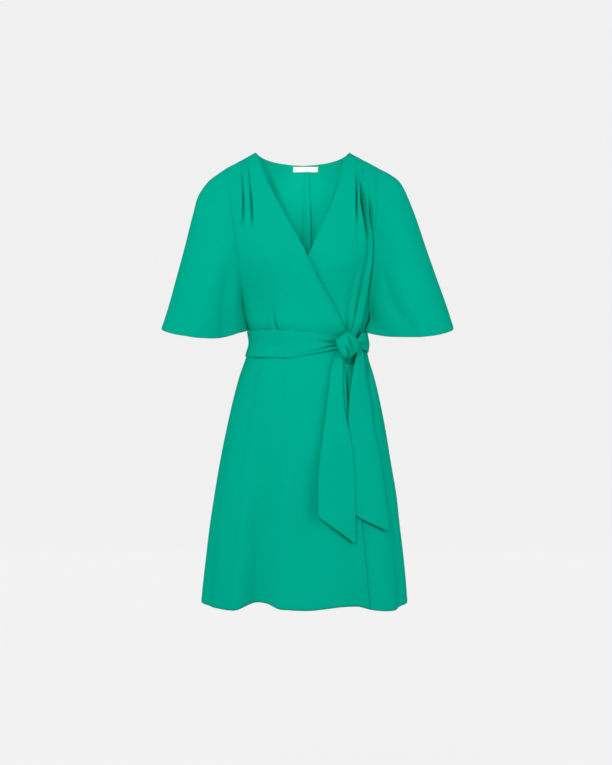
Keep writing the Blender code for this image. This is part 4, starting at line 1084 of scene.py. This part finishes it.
for side, names in ((-1, ("front_bodice_over", "back_bodice_left")),
                    (1, ("front_bodice_under", "back_bodice_right"))):
    for name, made in zip(names, (fronts[side], backs[side])):
        declareSheet(made[0], bodice["cuts"][name], "draped")
    declareSheet(sleevePieces[side][0], sleeves["cut"], "hung")
for name, (piece, spots, out) in skirtPieces.items():
    declareSheet(piece, skirt["cuts"][name], "hung")


def sewPiece(name, spots, out, side, away, material):
    mesh = bmesh.new()
    sewLine(mesh, lineInside(spots, side, away), lineInside(out, side, 0.0))
    unwrapFlat(mesh)
    finishPiece(name, mesh, material)


hemAway, bandAway = edging["turned"]["hem"], edging["turned"]["band"]
for side, name in ((-1, "over"), (1, "under")):
    sewPiece("stitches_neckline_" + name, *fronts[side][1:], "end", bandAway, crepes["bodice"])
for side, name in ((-1, "left"), (1, "right")):
    sewPiece("stitches_sleeve_" + name, *sleevePieces[side][1:], "bottom", hemAway, crepes["sleeve"])
for name, (piece, spots, out) in skirtPieces.items():
    sewPiece("stitches_" + name, spots, out, "bottom", hemAway, crepes["skirt"])
sewPiece("stitches_wrap_edge", *skirtPieces["skirt_front_over"][1:], "end", hemAway, crepes["skirt"])
print("stitches made")


room = {
    "eye": (0.004, -4.5, -0.28), "aim": (0.004, 0.0, -0.481), "lens": 101.0,
    "floor": -1.42, "back": 5.8, "halfWidth": 7.0, "front": -7.0, "high": 5.0, "bend": 1.2,
    "grey": (0.02, 0.02, 0.02, 1.0), "glow": 0.86,
    "key": {"spot": (-0.62, -2.4, 0.85), "size": 0.26, "power": 33.0},
    "left_fill": {"spot": (-3.2, -1.0, -0.6), "size": 1.4, "power": 18.0},
    "right_fill": {"spot": (3.0, -1.6, -0.6), "size": 1.6, "power": 30.0},
    "neck_fill": {"spot": (-0.01, -0.03, -0.10), "aim": (0.0, 0.09, -0.05), "size": 0.10, "power": 0.10},
    "world": 0.50,
}


def makeBackdrop():
    mesh = bmesh.new()
    start = mesh.verts.new((-room["halfWidth"], room["front"], room["floor"]))
    end = mesh.verts.new((room["halfWidth"], room["front"], room["floor"]))
    edge = mesh.edges.new((start, end))
    straight = room["back"] - room["bend"] - room["front"]
    grown = bmesh.ops.extrude_edge_only(mesh, edges=[edge])["geom"]
    moved = [item for item in grown if isinstance(item, bmesh.types.BMVert)]
    bmesh.ops.translate(mesh, verts=moved, vec=(0, straight, 0))
    edges = [item for item in grown if isinstance(item, bmesh.types.BMEdge)
             and all(vertex in moved for vertex in item.verts)]
    bmesh.ops.spin(mesh, geom=edges + moved, angle=math.pi / 2, steps=24, axis=(1, 0, 0),
                   cent=(0, room["back"] - room["bend"], room["floor"] + room["bend"]))
    top = sorted(mesh.verts, key=lambda vertex: -vertex.co.z)[:2]
    edges = [item for item in mesh.edges if all(vertex in top for vertex in item.verts)]
    grown = bmesh.ops.extrude_edge_only(mesh, edges=edges)["geom"]
    bmesh.ops.translate(mesh, verts=[item for item in grown if isinstance(item, bmesh.types.BMVert)],
                        vec=(0, 0, room["high"]))
    data = bpy.data.meshes.new("backdrop")
    mesh.to_mesh(data)
    mesh.free()
    data.shade_smooth()
    finish = Finish("backdrop_paper", {"Roughness": 0.95, "Specular IOR Level": 0.1,
                                       "Base Color": room["grey"], "Emission Strength": room["glow"],
                                       "Emission Color": (1.0, 1.0, 1.0, 1.0)})
    data.materials.append(finish.material)
    backdrop = bpy.data.objects.new("backdrop", data)
    bpy.context.scene.collection.objects.link(backdrop)
    backdrop.visible_diffuse = backdrop.visible_shadow = False      # the paper throws no light back


def aimed(spot, aim):   # the turn that points a lamp or the camera from one place at another
    return (Vector(aim) - Vector(spot)).to_track_quat("-Z", "Y").to_euler()


def makeLight(name, sizes):
    lamp = bpy.data.lights.new(name, "AREA")
    lamp.size, lamp.energy = sizes["size"], sizes["power"]
    light = bpy.data.objects.new(name, lamp)
    light.location = sizes["spot"]
    light.visible_camera = False
    light.rotation_euler = aimed(sizes["spot"], sizes.get("aim", room["aim"]))
    bpy.context.scene.collection.objects.link(light)


def makeCamera():
    lens = bpy.data.cameras.new("camera")
    lens.lens = room["lens"]
    lens.clip_end = 100.0
    camera = bpy.data.objects.new("camera", lens)
    camera.location = room["eye"]
    camera.rotation_euler = aimed(room["eye"], room["aim"])
    bpy.context.scene.collection.objects.link(camera)
    bpy.context.scene.camera = camera


makeBackdrop()
for name in ("key", "left_fill", "right_fill", "neck_fill"):
    makeLight(name, room[name])
makeCamera()
world = bpy.data.worlds.new("studio")
world.use_nodes = True
sky = world.node_tree.nodes["Background"].inputs
sky["Strength"].default_value, sky["Color"].default_value = room["world"], (1.0, 1.0, 1.0, 1.0)
bpy.context.scene.world = world
bpy.context.scene.view_settings.view_transform = "Standard"
print("camera and light set")
